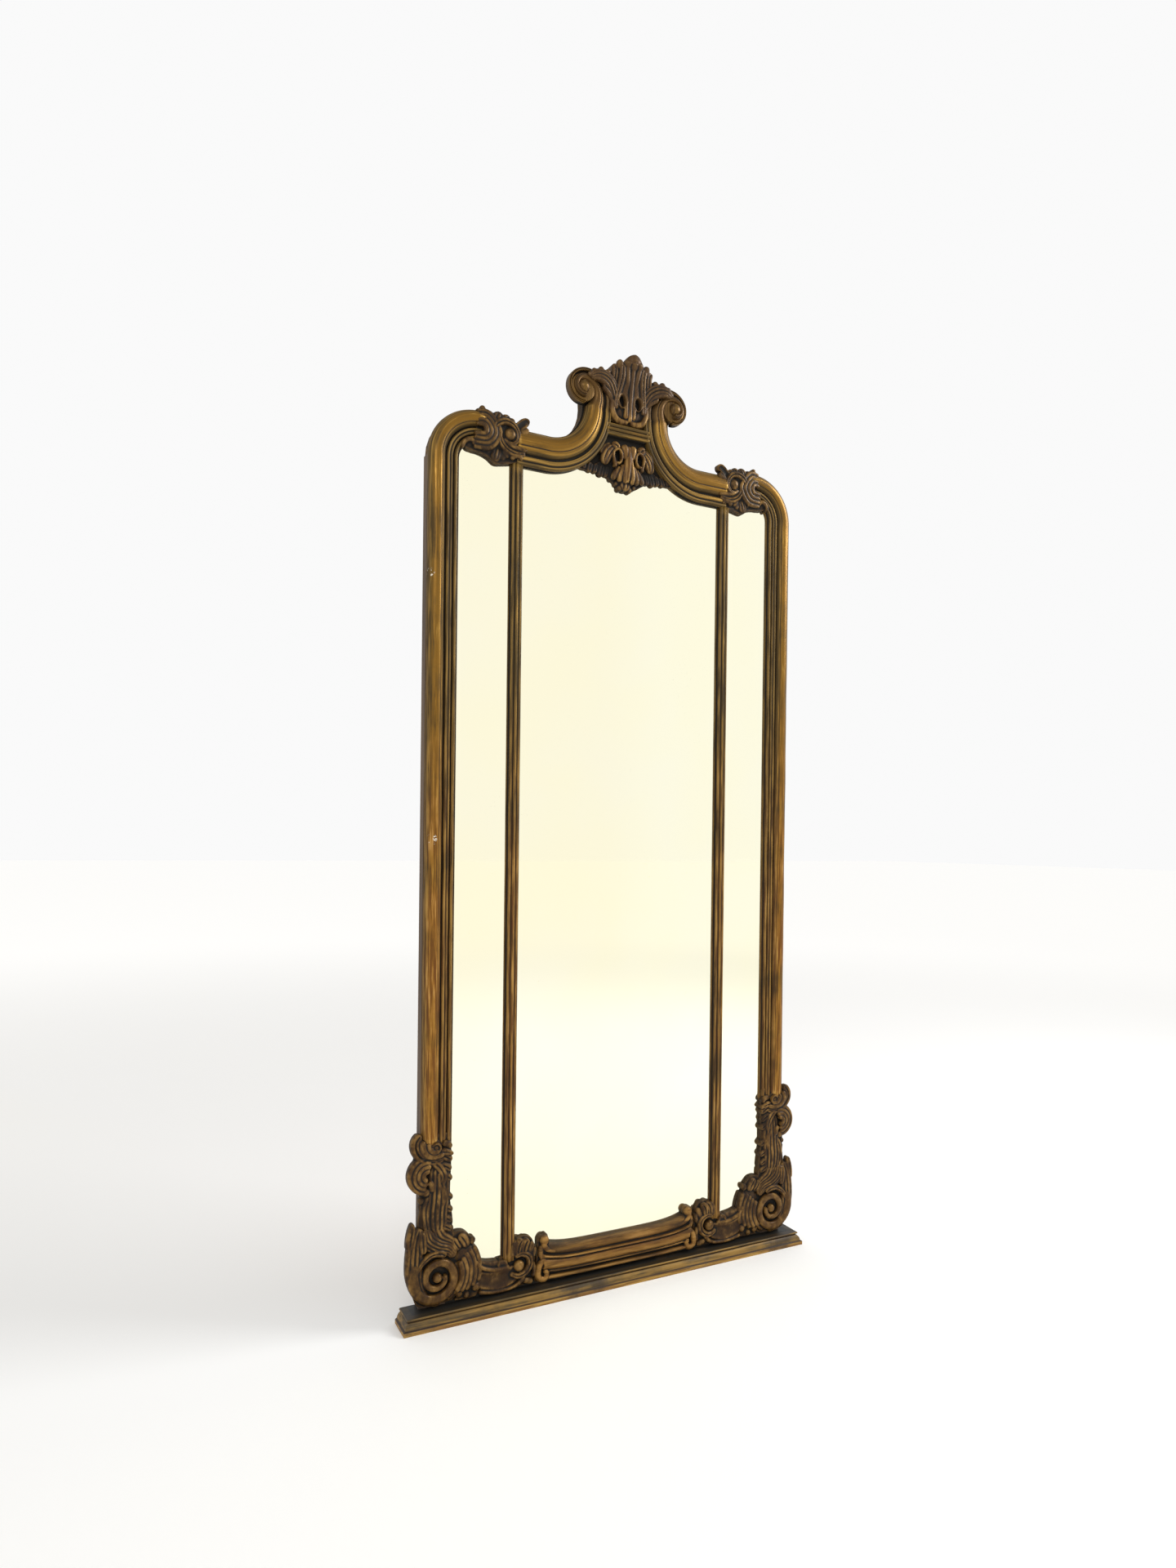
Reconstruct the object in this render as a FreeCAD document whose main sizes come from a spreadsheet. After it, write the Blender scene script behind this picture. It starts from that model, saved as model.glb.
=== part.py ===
import FreeCAD, Part
import math
import os
from FreeCAD import Rotation, Vector

# Trumeau mirror: a tall giltwood frame with three mirror plates, standing on a moulded plinth.
# Millimetres. X runs to the right, the front faces -Y, Z is up. The origin is the middle of the
# plinth's underside. Every carving is drawn for the right-hand side and mirrored to the left.

doc = FreeCAD.newDocument("TrumeauMirror")
sheet = doc.addObject("Spreadsheet::Sheet", "Sizes")

DRIVING_SIZES = (
    ("plinth_overhang", 42),
    ("plinth_depth", 68),
    ("plinth_height", 30),
    ("plinth_trim", 24),
    ("plinth_flare", 12),
    ("plinth_band", 10),
    ("plinth_nose", 5),
    ("frame_width", 936),
    ("frame_thick", 24),
    ("stile_width", 58),
    ("bottom_rail_height", 58),
    ("spring_height", 1810),
    ("shoulder_radius", 110),
    ("run_drop", 60),
    ("clasp_lap", 18),
    ("clasp_inset", 10),
    ("board_rise", 36),
    ("side_light_rise", 52),
    ("light_step", 20),
    ("moulding_width", 68),
    ("moulding_relief", 19),
    ("moulding_foot", 395),
    ("scroll_radius", 125),
    ("scroll_width", 78),
    ("scroll_neck", 64),
    ("scroll_centre", 200),
    ("volute_radius", 33),
    ("volute_shift", 82),
    ("volute_rise", 35),
    ("mullion_centre", 270),
    ("mullion_width", 32),
    ("mullion_depth", 14),
    ("mullion_foot", 104),
    ("mid_stile_width", 40),
    ("glass_thick", 4),
    ("glass_gap", 0.5),
    ("tongue_width", 6),
    ("backboard_thick", 8),
    ("block_length", 60),
    ("block_width", 14),
    ("block_thick", 9),
    ("block_margin", 100),
    ("tenon_thick", 8),
    ("tenon_length", 30),
    ("tenon_inset", 9),
    ("joint_gap", 0.1),
    ("ornament_relief", 24),
    ("finial_rise", 93),
    ("finial_reach", 50),
    ("drop_foot", 200),
    ("crossbar_height", 26),
    ("panel_half_width", 199),
    ("panel_height", 75),
    ("screw_shank", 5),
    ("screw_head", 10),
    ("screw_length", 55),
    ("screw_inset", 30),
)

for row, (alias, value) in enumerate(DRIVING_SIZES, start=1):
    sheet.set("A%d" % row, alias.replace("_", " "))
    sheet.set("B%d" % row, str(value))
    sheet.setAlias("B%d" % row, alias)
doc.recompute()


def size(alias):
    """A driving size, read back from the sheet."""
    return float(sheet.get(alias))


# Planes and lines that several pieces share.
BACK = size("plinth_depth") / 2
SEAT = BACK - size("frame_thick")
HALF = size("frame_width") / 2
PLINTH_HALF = HALF + size("plinth_overhang")
FLOOR = size("plinth_height")
STILE_IN = HALF - size("stile_width")
RAIL_TOP = FLOOR + size("bottom_rail_height")
SPRING = size("spring_height")
SHOULDER_TOP = SPRING + size("shoulder_radius")
SHOULDER_X = HALF - size("shoulder_radius")
RUN_Z = SHOULDER_TOP - size("run_drop")
SCROLL_X = size("scroll_centre")
SCROLL_Z = RUN_Z + size("scroll_radius")
VOLUTE_X = SCROLL_X - size("volute_shift")
VOLUTE_Z = SCROLL_Z + size("volute_rise")
MULLION = size("mullion_centre")
FINIAL_TOP = VOLUTE_Z + size("finial_rise")
CLASP_IN = MULLION - size("clasp_lap")
CLASP_OUT = SHOULDER_X - size("clasp_inset")
BOARD_LOW = SPRING + size("board_rise")
SIDE_LIGHT_TOP = SPRING + size("side_light_rise")
LIGHT_STEP = size("light_step")
EYE_X = HALF - 36
EYE_Z = FLOOR + 67
LEAF_EDGE = EYE_X - 57
TOE_LINE = MULLION + 0.65 * (LEAF_EDGE - MULLION)
GLASS_BACK = SEAT + size("glass_thick")
GAP = size("joint_gap")

pieces = []


def keep(label, shape):
    """A finished sub-part from a solid made in place: one object with its own name."""
    feature = doc.addObject("Part::Feature", label)
    feature.Shape = shape
    feature.Label = label
    feature.Placement = FreeCAD.Placement(Vector(0, 0, 0), Rotation())
    pieces.append(feature)


def keep_pair(name, right_shape):
    """The right-hand solid and its mirror image on the left."""
    keep(name + "_right", right_shape)
    keep(name + "_left", right_shape.mirror(Vector(0, 0, 0), Vector(1, 0, 0)))


def padded(label, plane_role, outline, length, place):
    """A sub-part padded from an outline of lines and arcs on one of its own origin planes.

    length is an expression on the sheet; place is where the body's origin lies.
    """
    body = doc.addObject("PartDesign::Body", label)
    body.Label = label
    plane = [item for item in body.Origin.OriginFeatures if item.Role == plane_role][0]
    sketch = body.newObject("Sketcher::SketchObject", label + "_outline")
    sketch.AttachmentSupport = [(plane, "")]
    sketch.MapMode = "FlatFace"
    for edge in outline:
        sketch.addGeometry(edge, False)
    pad = body.newObject("PartDesign::Pad", label + "_pad")
    pad.Profile = sketch
    pad.setExpression("Length", length)
    body.Tip = pad
    body.Placement = FreeCAD.Placement(place, Rotation())
    pieces.append(body)


def padded_pair(name, plane_role, outline, length, place):
    """A padded sub-part on the right, and its mirror image on the left."""
    padded(name + "_right", plane_role, outline, length, place)
    flipped = [flip(edge) for edge in outline]
    padded(name + "_left", plane_role, flipped, length, Vector(-place.x, place.y, place.z))


def flip(edge):
    """A sketch line or arc mirrored across its plane's vertical axis."""
    points = [edge.StartPoint, edge.value((edge.FirstParameter + edge.LastParameter) / 2), edge.EndPoint]
    mirrored = [Vector(-point.x, point.y, 0) for point in points]
    if isinstance(edge, Part.LineSegment):
        return Part.LineSegment(mirrored[0], mirrored[2])
    return Part.Arc(mirrored[0], mirrored[1], mirrored[2])


def lines(corners):
    """Sketch lines that close a loop through corners, given as (across, up)."""
    loop = [Vector(a, b, 0) for a, b in corners]
    return [Part.LineSegment(first, second) for first, second in zip(loop, loop[1:] + loop[:1])]


def polygon(points):
    """A closed wire through points."""
    return Part.makePolygon(list(points) + [points[0]])


def prism(outline, y_back, y_front):
    """An outline in (x, z), extruded from y_back forward to y_front."""
    wire = polygon([Vector(x, y_back, z) for x, z in outline])
    return Part.Face(wire).extrude(Vector(0, y_front - y_back, 0))


def arc_points(cx, cz, radius, start, end, steps):
    """Points on an arc about (cx, cz), angles in degrees."""
    angles = [math.radians(start + (end - start) * k / steps) for k in range(steps + 1)]
    return [(cx + radius * math.cos(a), cz + radius * math.sin(a)) for a in angles]


def flat_face(corners):
    """A flat face through corners."""
    return Part.Face(polygon(corners))


def carved_loft(rings):
    """A closed solid through rings of points: flat facets between neighbours, flat ends.

    A four-sided facet that isn't flat is cut along its diagonal.
    """
    faces = [flat_face(rings[0]), flat_face(rings[-1])]
    for near, far in zip(rings, rings[1:]):
        for k in range(len(near)):
            a, b = near[k - 1], near[k]
            c, d = far[k], far[k - 1]
            normal = (b - a).cross(c - a)
            if abs(normal.dot(d - a)) < 1e-7 * normal.Length:
                faces.append(flat_face([a, b, c, d]))
            else:
                faces.append(flat_face([a, b, c]))
                faces.append(flat_face([a, c, d]))
    solid = Part.makeSolid(Part.makeShell(faces))
    if solid.Volume < 0:
        solid.reverse()
    return solid


def relief(outline, centre, levels):
    """A carved boss: the outline drawn in towards its centre as it comes forward.

    levels holds (y, share of the outline's size) from the back to the front.
    """
    return carved_loft([[Vector(centre[0] + (x - centre[0]) * share, y,
                                centre[1] + (z - centre[1]) * share) for x, z in outline]
                        for y, share in levels])


# ---------------------------------------------------------------- plinth

def plinth_profile():
    """The plinth moulding's section: (inward, up) from the outer bottom edge."""
    band = size("plinth_band")
    flare = size("plinth_flare")
    nose = size("plinth_nose")
    high = size("plinth_height")
    trim = size("plinth_trim")
    low = Vector(0, 0, band - 3)
    top = Vector(3, 0, band)
    cove_low = Vector(4, 0, band + 1.5)
    cove_top = Vector(flare, 0, high - nose - 1.5)
    nose_low = Vector(flare - 1, 0, high - nose)
    nose_top = Vector(flare - 1, 0, high)
    cove_mid = Vector(4 + (flare - 4) * 0.32, 0, cove_low.z + (cove_top.z - cove_low.z) * 0.6)
    edges = [
        Part.LineSegment(Vector(0, 0, 0), low).toShape(),
        Part.Arc(low, Vector(0.9, 0, band - 0.9), top).toShape(),
        Part.LineSegment(top, cove_low).toShape(),
        Part.Arc(cove_low, cove_mid, cove_top).toShape(),
        Part.LineSegment(cove_top, nose_low).toShape(),
        Part.Arc(nose_low, Vector(flare - 1 - nose / 2, 0, high - nose / 2), nose_top).toShape(),
        Part.LineSegment(nose_top, Vector(trim, 0, high)).toShape(),
        Part.LineSegment(Vector(trim, 0, high), Vector(trim, 0, 0)).toShape(),
        Part.LineSegment(Vector(trim, 0, 0), Vector(0, 0, 0)).toShape(),
    ]
    return Part.Face(Part.Wire(edges))


def plinth_mouldings():
    """The front run and two returns, mitred at the front corners."""
    half = PLINTH_HALF
    front = -size("plinth_depth") / 2
    trim = size("plinth_trim")
    high = size("plinth_height")
    side_run = plinth_profile().extrude(Vector(0, size("plinth_depth"), 0))
    side_run.translate(Vector(-half, front, 0))
    front_run = plinth_profile()
    front_run.rotate(Vector(0, 0, 0), Vector(0, 0, 1), 90)
    front_run = front_run.extrude(Vector(2 * half, 0, 0))
    front_run.translate(Vector(-half, front, 0))
    front_plan = polygon([Vector(-half, front, 0), Vector(half, front, 0),
                          Vector(half - trim, front + trim, 0), Vector(trim - half, front + trim, 0)])
    side_plan = polygon([Vector(-half, front, 0), Vector(trim - half, front + trim, 0),
                         Vector(trim - half, BACK, 0), Vector(-half, BACK, 0)])
    up = Vector(0, 0, high)
    keep("plinth_moulding_front", front_run.common(Part.Face(front_plan).extrude(up)))
    left = side_run.common(Part.Face(side_plan).extrude(up))
    keep("plinth_moulding_left", left)
    keep("plinth_moulding_right", left.mirror(Vector(0, 0, 0), Vector(1, 0, 0)))


def plinth_core(screws):
    """The board inside the plinth moulding that the frame stands on."""
    half = PLINTH_HALF - size("plinth_trim")
    depth = size("plinth_depth") - size("plinth_trim")
    board = Part.makeBox(2 * half, depth, FLOOR, Vector(-half, BACK - depth, 0))
    keep("plinth_board", board.cut(screws))


def screw(x):
    """A countersunk wood screw driven up through the plinth into the frame."""
    shank = size("screw_shank") / 2
    head = size("screw_head") / 2
    recess = 3
    y = SEAT + size("frame_thick") / 2
    cone = Part.makeCone(head, shank, head, Vector(x, y, recess))
    length = size("screw_length")
    rod = Part.makeCylinder(shank, length - head, Vector(x, y, recess + head))
    pocket = Part.makeCylinder(head, recess, Vector(x, y, 0))
    return cone.fuse(rod).removeSplitter(), pocket


# ---------------------------------------------------------------- carcase

def tenon(x, z, width, length):
    """A tenon centred on (x, z), in the middle of the frame's thickness."""
    thick = size("tenon_thick")
    y = (SEAT + BACK - thick) / 2
    return Part.makeBox(width, thick, length, Vector(x - width / 2, y, z))


def rail_tenon(x_from, x_to):
    """The bottom rail's tenon, lying along X."""
    thick = size("tenon_thick")
    inset = size("tenon_inset")
    y = (SEAT + BACK - thick) / 2
    tall = size("bottom_rail_height") - 2 * inset
    low = min(x_from, x_to)
    return Part.makeBox(abs(x_to - x_from), thick, tall, Vector(low, y, FLOOR + inset))


def mortise(tenon_shape):
    """The hole for a tenon: the tenon, larger by the joint gap on its long sides."""
    box = tenon_shape.BoundBox
    return Part.makeBox(box.XLength + 2 * GAP, box.YLength + 2 * GAP, box.ZLength + 2 * GAP,
                        Vector(box.XMin - GAP, box.YMin - GAP, box.ZMin - GAP))


def crest_board_outline():
    """Half of the top board, drawn from the centre's foot round to the crest's top."""
    set_back = 2
    outer = [(0, BOARD_LOW), (MULLION + LIGHT_STEP, BOARD_LOW), (MULLION + LIGHT_STEP, SIDE_LIGHT_TOP),
             (STILE_IN, SIDE_LIGHT_TOP), (STILE_IN, SPRING)]
    shoulder = arc_points(SHOULDER_X, SPRING, size("shoulder_radius") - set_back, 0, 90, 8)
    neck_radius = size("scroll_radius") - size("scroll_width") / 2 + set_back
    neck = arc_points(SCROLL_X, SCROLL_Z, neck_radius, 270, 180, 8)
    top = FINIAL_TOP
    crest = [(VOLUTE_X - 4, VOLUTE_Z), (VOLUTE_X - 12, VOLUTE_Z + 22), (62, top - 52),
             (34, top - 32), (18, top - 24), (0, top - 22)]
    return outer + shoulder + [(CLASP_IN + 10, neck[0][1])] + neck + crest


def carcase():
    """Stiles, rails and mid stiles, with stub tenons where they meet."""
    inset = size("tenon_inset")
    long = size("tenon_length")
    wide = size("stile_width") - 2 * inset
    mid = size("mid_stile_width")
    thick = size("frame_thick")
    stile_x = STILE_IN + size("stile_width") / 2

    half_board = prism(crest_board_outline(), BACK, SEAT)
    board = half_board.fuse(half_board.mirror(Vector(0, 0, 0), Vector(1, 0, 0))).removeSplitter()
    rail = Part.makeBox(2 * STILE_IN, thick, RAIL_TOP - FLOOR, Vector(-STILE_IN, SEAT, FLOOR))
    for side in (-1, 1):
        top_tenon = tenon(side * stile_x, SPRING, wide, long)
        rail_end = rail_tenon(side * STILE_IN, side * (STILE_IN + long))
        left_edge = STILE_IN if side > 0 else -HALF
        stile = Part.makeBox(size("stile_width"), thick, SPRING - FLOOR,
                             Vector(left_edge, SEAT, FLOOR))
        stile = stile.fuse(top_tenon).cut(mortise(rail_end))
        board = board.cut(mortise(top_tenon))
        rail = rail.fuse(rail_end)
        mid_low = tenon(side * MULLION, RAIL_TOP - long, mid - 2 * inset, long)
        mid_top = tenon(side * MULLION, BOARD_LOW, mid - 2 * inset, long)
        front = GLASS_BACK
        post = Part.makeBox(mid, BACK - front, BOARD_LOW - RAIL_TOP,
                            Vector(side * MULLION - mid / 2, front, RAIL_TOP))
        post = post.fuse([mid_low, mid_top]).removeSplitter()
        rail = rail.cut(mortise(mid_low))
        board = board.cut(mortise(mid_top))
        name = "right" if side > 0 else "left"
        keep("stile_" + name, stile.removeSplitter())
        keep("mid_stile_" + name, post)
    keep("crest_board", board)
    return rail.removeSplitter()


# ---------------------------------------------------------------- plates and backboards

def plates():
    """Three mirror plates, one in each light, parted by the mullions' tongues."""
    gap = size("glass_gap")
    tongue = size("tongue_width") / 2
    low = RAIL_TOP + gap
    side_left = MULLION + tongue + gap
    side = lines([(side_left, low), (STILE_IN - gap, low), (STILE_IN - gap, SIDE_LIGHT_TOP - gap),
                  (MULLION + LIGHT_STEP + gap, SIDE_LIGHT_TOP - gap),
                  (MULLION + LIGHT_STEP + gap, BOARD_LOW - gap), (side_left, BOARD_LOW - gap)])
    padded_pair("mirror_plate", "XZ_Plane", side, "Sizes.glass_thick", Vector(0, GLASS_BACK, 0))
    half = MULLION - tongue - gap
    centre = lines([(-half, low), (half, low), (half, BOARD_LOW - gap), (-half, BOARD_LOW - gap)])
    padded("mirror_plate_centre", "XZ_Plane", centre, "Sizes.glass_thick", Vector(0, GLASS_BACK, 0))


def backboards():
    """A thin board behind each plate, and the rub blocks that hold it in."""
    gap = size("glass_gap")
    thick = size("backboard_thick")
    post = size("mid_stile_width") / 2
    low = RAIL_TOP + gap
    side_left = MULLION + post + gap
    side_wide = STILE_IN - gap - side_left
    centre_half = MULLION - post - gap
    back = Vector(0, GLASS_BACK + thick, 0)
    side = lines([(side_left, low), (side_left + side_wide, low),
                  (side_left + side_wide, SIDE_LIGHT_TOP - gap), (side_left, SIDE_LIGHT_TOP - gap)])
    padded_pair("backboard", "XZ_Plane", side, "Sizes.backboard_thick", back)
    centre = lines([(-centre_half, low), (centre_half, low),
                    (centre_half, BOARD_LOW - gap), (-centre_half, BOARD_LOW - gap)])
    padded("backboard_centre", "XZ_Plane", centre, "Sizes.backboard_thick", back)
    wide = size("block_width")
    deep = size("block_thick")
    long = size("block_length")
    count = 5
    margin = size("block_margin")
    pitch = (BOARD_LOW - RAIL_TOP - 2 * margin) / (count - 1)
    for name, edge, direction in (("stile_blocks", STILE_IN, -1),
                                  ("post_outer_blocks", MULLION + post, 1),
                                  ("post_inner_blocks", MULLION - post, -1)):
        blocks = []
        for k in range(count):
            z = RAIL_TOP + margin + k * pitch - long / 2
            plan = polygon([Vector(edge, GLASS_BACK + thick, z),
                            Vector(edge + direction * wide, GLASS_BACK + thick, z),
                            Vector(edge, GLASS_BACK + thick + deep, z)])
            blocks.append(Part.Face(plan).extrude(Vector(0, 0, long)))
        keep_pair(name, Part.makeCompound(blocks))


# ---------------------------------------------------------------- mouldings

def moulding_section(torus_steps, bead_steps):
    """The frame moulding's section as shares: (across from the outer edge, forward).

    A broad half-round torus, a quirk, a bead, a quirk and the reed at the sight edge.
    """
    radius = 0.28
    torus = [(radius - radius * math.cos(math.radians(a)), math.sin(math.radians(a)))
             for a in [160 * k / torus_steps for k in range(torus_steps + 1)]]
    points = torus
    for start, end, foot in ((0.585, 0.765, 0.22), (0.79, 0.985, 0.2)):
        middle = (start + end) / 2
        half = (end - start) / 2
        rise = 0.33
        for k in range(bead_steps + 1):
            a = math.pi * k / bead_steps
            points = points + [(middle - half * math.cos(a), foot + rise * math.sin(a))]
    return points + [(1.0, 0.0)]


def section_ring(section, outer, inner, relief_height, lean=0.0):
    """The section's points between two points of the path's edges, in (x, z).

    lean carries the crest of the section forward of the seat, for a rolled end.
    """
    points = []
    for across, forward in section:
        x = outer[0] + (inner[0] - outer[0]) * across
        z = outer[1] + (inner[1] - outer[1]) * across
        points.append(Vector(x, SEAT - forward * (relief_height + lean), z))
    return points


def side_and_shoulder():
    """The straight side moulding and the quarter-round that carries it over the top corner."""
    section = moulding_section(8, 5)
    wide = size("moulding_width")
    high = size("moulding_relief")
    corners = [(HALF - wide * across, SEAT - high * forward) for across, forward in section]
    padded_pair("side_moulding", "XY_Plane", lines(corners),
                "Sizes.spring_height - Sizes.moulding_foot", Vector(0, 0, size("moulding_foot")))

    radius = size("shoulder_radius")
    rings = []
    for angle in range(0, 91, 10):
        a = math.radians(angle)
        outer = (SHOULDER_X + radius * math.cos(a), SPRING + radius * math.sin(a))
        inner = (SHOULDER_X + (radius - wide) * math.cos(a), SPRING + (radius - wide) * math.sin(a))
        rings.append(section_ring(section, outer, inner, high))
    end = (CLASP_OUT, SHOULDER_TOP)
    rings.append(section_ring(section, end, (end[0], SHOULDER_TOP - wide), high))
    keep_pair("shoulder_moulding", carved_loft(rings))


def c_scroll():
    """The C-scroll from the clasp, round the hollow of the crest and into its volute.

    A quarter circle narrows from scroll_width to scroll_neck, then the strap winds in on the
    volute's centre: its outer radius falls to volute_radius and its inner edge closes in.
    """
    section = moulding_section(6, 4)
    high = size("moulding_relief") + 2
    wide = size("scroll_width")
    neck = size("scroll_neck")
    radius = size("scroll_radius")
    start = (CLASP_IN, RUN_Z + wide / 2)
    rings = [section_ring(section, start, (CLASP_IN, RUN_Z - wide / 2), high)]
    for step in range(7):
        share = step / 6
        a = math.radians(270 - 90 * share)
        width = wide + (neck - wide) * share
        hollow = (SCROLL_X + (radius - width / 2) * math.cos(a),
                  SCROLL_Z + (radius - width / 2) * math.sin(a))
        bulge = (SCROLL_X + (radius + width / 2) * math.cos(a),
                 SCROLL_Z + (radius + width / 2) * math.sin(a))
        rings.append(section_ring(section, hollow, bulge, high))
    last_hollow = math.hypot(hollow[0] - VOLUTE_X, hollow[1] - VOLUTE_Z)
    last_bulge = math.hypot(bulge[0] - VOLUTE_X, bulge[1] - VOLUTE_Z)
    turn_hollow = math.degrees(math.atan2(hollow[1] - VOLUTE_Z, hollow[0] - VOLUTE_X)) % 360
    turn_bulge = math.degrees(math.atan2(bulge[1] - VOLUTE_Z, bulge[0] - VOLUTE_X)) % 360
    ball = size("volute_radius")
    steps = 10
    end_turn = -92
    for step in range(1, steps + 1):
        share = step / steps
        ease = 1 - (1 - share) ** 2.6
        outer_turn = math.radians(turn_bulge + (end_turn - turn_bulge) * share)
        inner_turn = math.radians(turn_hollow + (end_turn - turn_hollow) * share ** 1.15)
        outer_radius = last_bulge + (ball - last_bulge) * ease
        inner_radius = last_hollow + (8 - last_hollow) * ease
        bulge = (VOLUTE_X + outer_radius * math.cos(outer_turn),
                 VOLUTE_Z + outer_radius * math.sin(outer_turn))
        hollow = (VOLUTE_X + inner_radius * math.cos(inner_turn),
                  VOLUTE_Z + inner_radius * math.sin(inner_turn))
        rings.append(section_ring(section, hollow, bulge, high, lean=11 * share))
    scroll = carved_loft(rings)
    keep_pair("c_scroll", scroll)
    return scroll


def mullion():
    """A reeded cap over the joint of two plates, with a tongue that parts them."""
    half = size("mullion_width") / 2
    deep = size("mullion_depth")
    tongue = size("tongue_width") / 2
    side = deep * 0.55
    outline = [Part.LineSegment(Vector(-half, SEAT, 0), Vector(-half, SEAT - side, 0))]
    reeds = ((-half, -half * 0.42, 0.75), (-half * 0.42, half * 0.42, 1.0), (half * 0.42, half, 0.75))
    for left, right, rise in reeds:
        crown = Vector((left + right) / 2, SEAT - side - (deep - side) * rise, 0)
        outline.append(Part.Arc(Vector(left, SEAT - side, 0), crown, Vector(right, SEAT - side, 0)))
    corners = [(half, SEAT - side), (half, SEAT), (tongue, SEAT), (tongue, GLASS_BACK),
               (-tongue, GLASS_BACK), (-tongue, SEAT), (-half, SEAT)]
    for first, second in zip(corners, corners[1:]):
        outline.append(Part.LineSegment(Vector(first[0], first[1], 0), Vector(second[0], second[1], 0)))
    low = size("mullion_foot")
    length = "Sizes.spring_height + Sizes.shoulder_radius - Sizes.run_drop - Sizes.scroll_width / 2"
    padded_pair("mullion", "XY_Plane", outline, length + " - Sizes.mullion_foot",
                Vector(MULLION, 0, low))


# ---------------------------------------------------------------- carvings

def carving_levels(front_share=0.4, extra=0.0):
    """Back to front: full outline on the seat, then drawn in to a rounded crown."""
    deep = size("ornament_relief") + extra
    return ((SEAT, 1.0), (SEAT - deep * 0.45, 1.0), (SEAT - deep * 0.8, 0.8),
            (SEAT - deep, front_share))


def corner_clasp():
    """The leaf clasp that ties the shoulder to the C-scroll over the mullion's head.

    Its lobes lie at shares of the run along its top, and of what is left beside the mullion below.
    """
    centre = ((CLASP_IN + CLASP_OUT) / 2, RUN_Z + 6)
    top = SHOULDER_TOP
    low = RUN_Z - size("scroll_width") / 2
    beside = MULLION + size("mullion_width") / 2 + 0.3
    run = CLASP_OUT - CLASP_IN
    below = CLASP_OUT - beside
    outline = [(CLASP_OUT, top - 96), (CLASP_OUT, top), (CLASP_OUT + 4, top + 14),
               (CLASP_OUT - 6, top + 14), (CLASP_OUT - 0.15 * run, top + 5),
               (CLASP_OUT - 0.33 * run, top + 11), (CLASP_OUT - 0.54 * run, top + 12),
               (CLASP_OUT - 0.69 * run, top + 6), (CLASP_OUT - 0.81 * run, top - 6),
               (CLASP_IN + 0.02 * run, top + 8), (CLASP_IN - 10, top + 10), (CLASP_IN - 16, top - 2),
               (CLASP_IN, top - 21), (CLASP_IN, low), (beside, low),
               (beside + 0.03 * below, low - 9), (beside + 0.19 * below, low - 16),
               (beside + 0.39 * below, low - 12), (beside + 0.52 * below, low - 1),
               (beside + 0.74 * below, low + 2)]
    keep_pair("corner_clasp", relief(outline, centre, carving_levels(0.45, 4)))


def side_drop():
    """The carved drop below the side moulding: a cap leaf, a scroll and leafy stems."""
    top = size("moulding_foot")
    low = size("drop_foot")
    out = HALF
    sight = HALF - size("moulding_width")
    cap = [(out, top), (out + 10, top - 12), (out + 11, top - 28), (out + 5, top - 43),
           (out - 20, top - 50), (sight + 24, top - 48), (sight + 4, top - 42),
           (sight - 6, top - 34), (sight, top - 22), (sight, top)]
    keep_pair("cap_leaf", relief(cap, (out - 32, top - 22), carving_levels(0.45)))
    seam = [(out + 5, top - 43), (out - 20, top - 50), (sight + 24, top - 48), (sight + 4, top - 42)]
    stem = seam + [(sight + 2, top - 50), (sight - 4, top - 60), (sight + 5, top - 72),
                   (sight - 3, top - 82), (sight + 3, top - 92), (sight - 4, top - 105),
                   (sight + 2, top - 125), (sight + 4, top - 138), (sight - 5, top - 152),
                   (sight + 2, top - 168), (sight - 4, top - 180), (sight + 6, low),
                   (out + 2, low), (out + 1, low + 12), (out - 2, low + 45), (out, low + 75),
                   (out + 2, top - 112), (out + 14, top - 106), (out + 25, top - 92),
                   (out + 28, top - 77), (out + 24, top - 60), (out + 14, top - 49)]
    keep_pair("side_drop", relief(stem, (out - 28, (top + low) / 2 - 10), carving_levels(0.35)))


def volute_edge():
    """The inner edge of the base volute, which the base leaf follows: from foot to top."""
    return [(EYE_X - 28, FLOOR + 5), (EYE_X - 46, FLOOR + 18), (LEAF_EDGE + 2, FLOOR + 42),
            (LEAF_EDGE, EYE_Z), (LEAF_EDGE + 7, EYE_Z + 28), (LEAF_EDGE + 19, EYE_Z + 48)]


def base_volute():
    """The big scroll at the foot of each stile: a spiral strap on a carved block."""
    low = size("drop_foot")
    edge = volute_edge()
    outline = [(HALF + 4, low), (HALF + 19, low + 5), (HALF + 21, low - 12), (HALF + 24, low - 30),
               (HALF + 30, low - 55), (HALF + 32, EYE_Z + 22), (HALF + 29, EYE_Z - 3),
               (HALF + 20, EYE_Z - 28), (HALF + 6, EYE_Z - 48), (HALF - 14, FLOOR + 8),
               (HALF - 36, FLOOR + 4)] + edge + [(EYE_X - 33, EYE_Z + 70), (EYE_X - 30, low)]
    block = prism(outline, SEAT, SEAT - size("ornament_relief") * 0.45)
    turns = 26
    rings = []
    for step in range(turns + 1):
        share = step / turns
        angle = math.radians(70 - 620 * share)
        middle = 58 * (1 - share) ** 0.9 + 11
        half = 11 - 5 * share
        deep = size("ornament_relief") * (0.8 + 0.25 * share)
        ring = []
        for offset, forward in ((half, 0.4), (half * 0.9, 0.75), (0.2 * half, 1.0),
                                (-0.7 * half, 0.8), (-half, 0.4)):
            reach = middle + offset
            ring.append(Vector(EYE_X + reach * math.cos(angle) * 0.97, SEAT - deep * forward,
                               EYE_Z + reach * math.sin(angle)))
        rings.append(ring)
    strap = carved_loft(rings)
    eye = Part.makeCone(11, 7, size("ornament_relief") * 0.6,
                        Vector(EYE_X, SEAT - size("ornament_relief") * 0.4, EYE_Z), Vector(0, -1, 0))
    keep_pair("base_volute", block.fuse([strap, eye]).removeSplitter())


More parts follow.
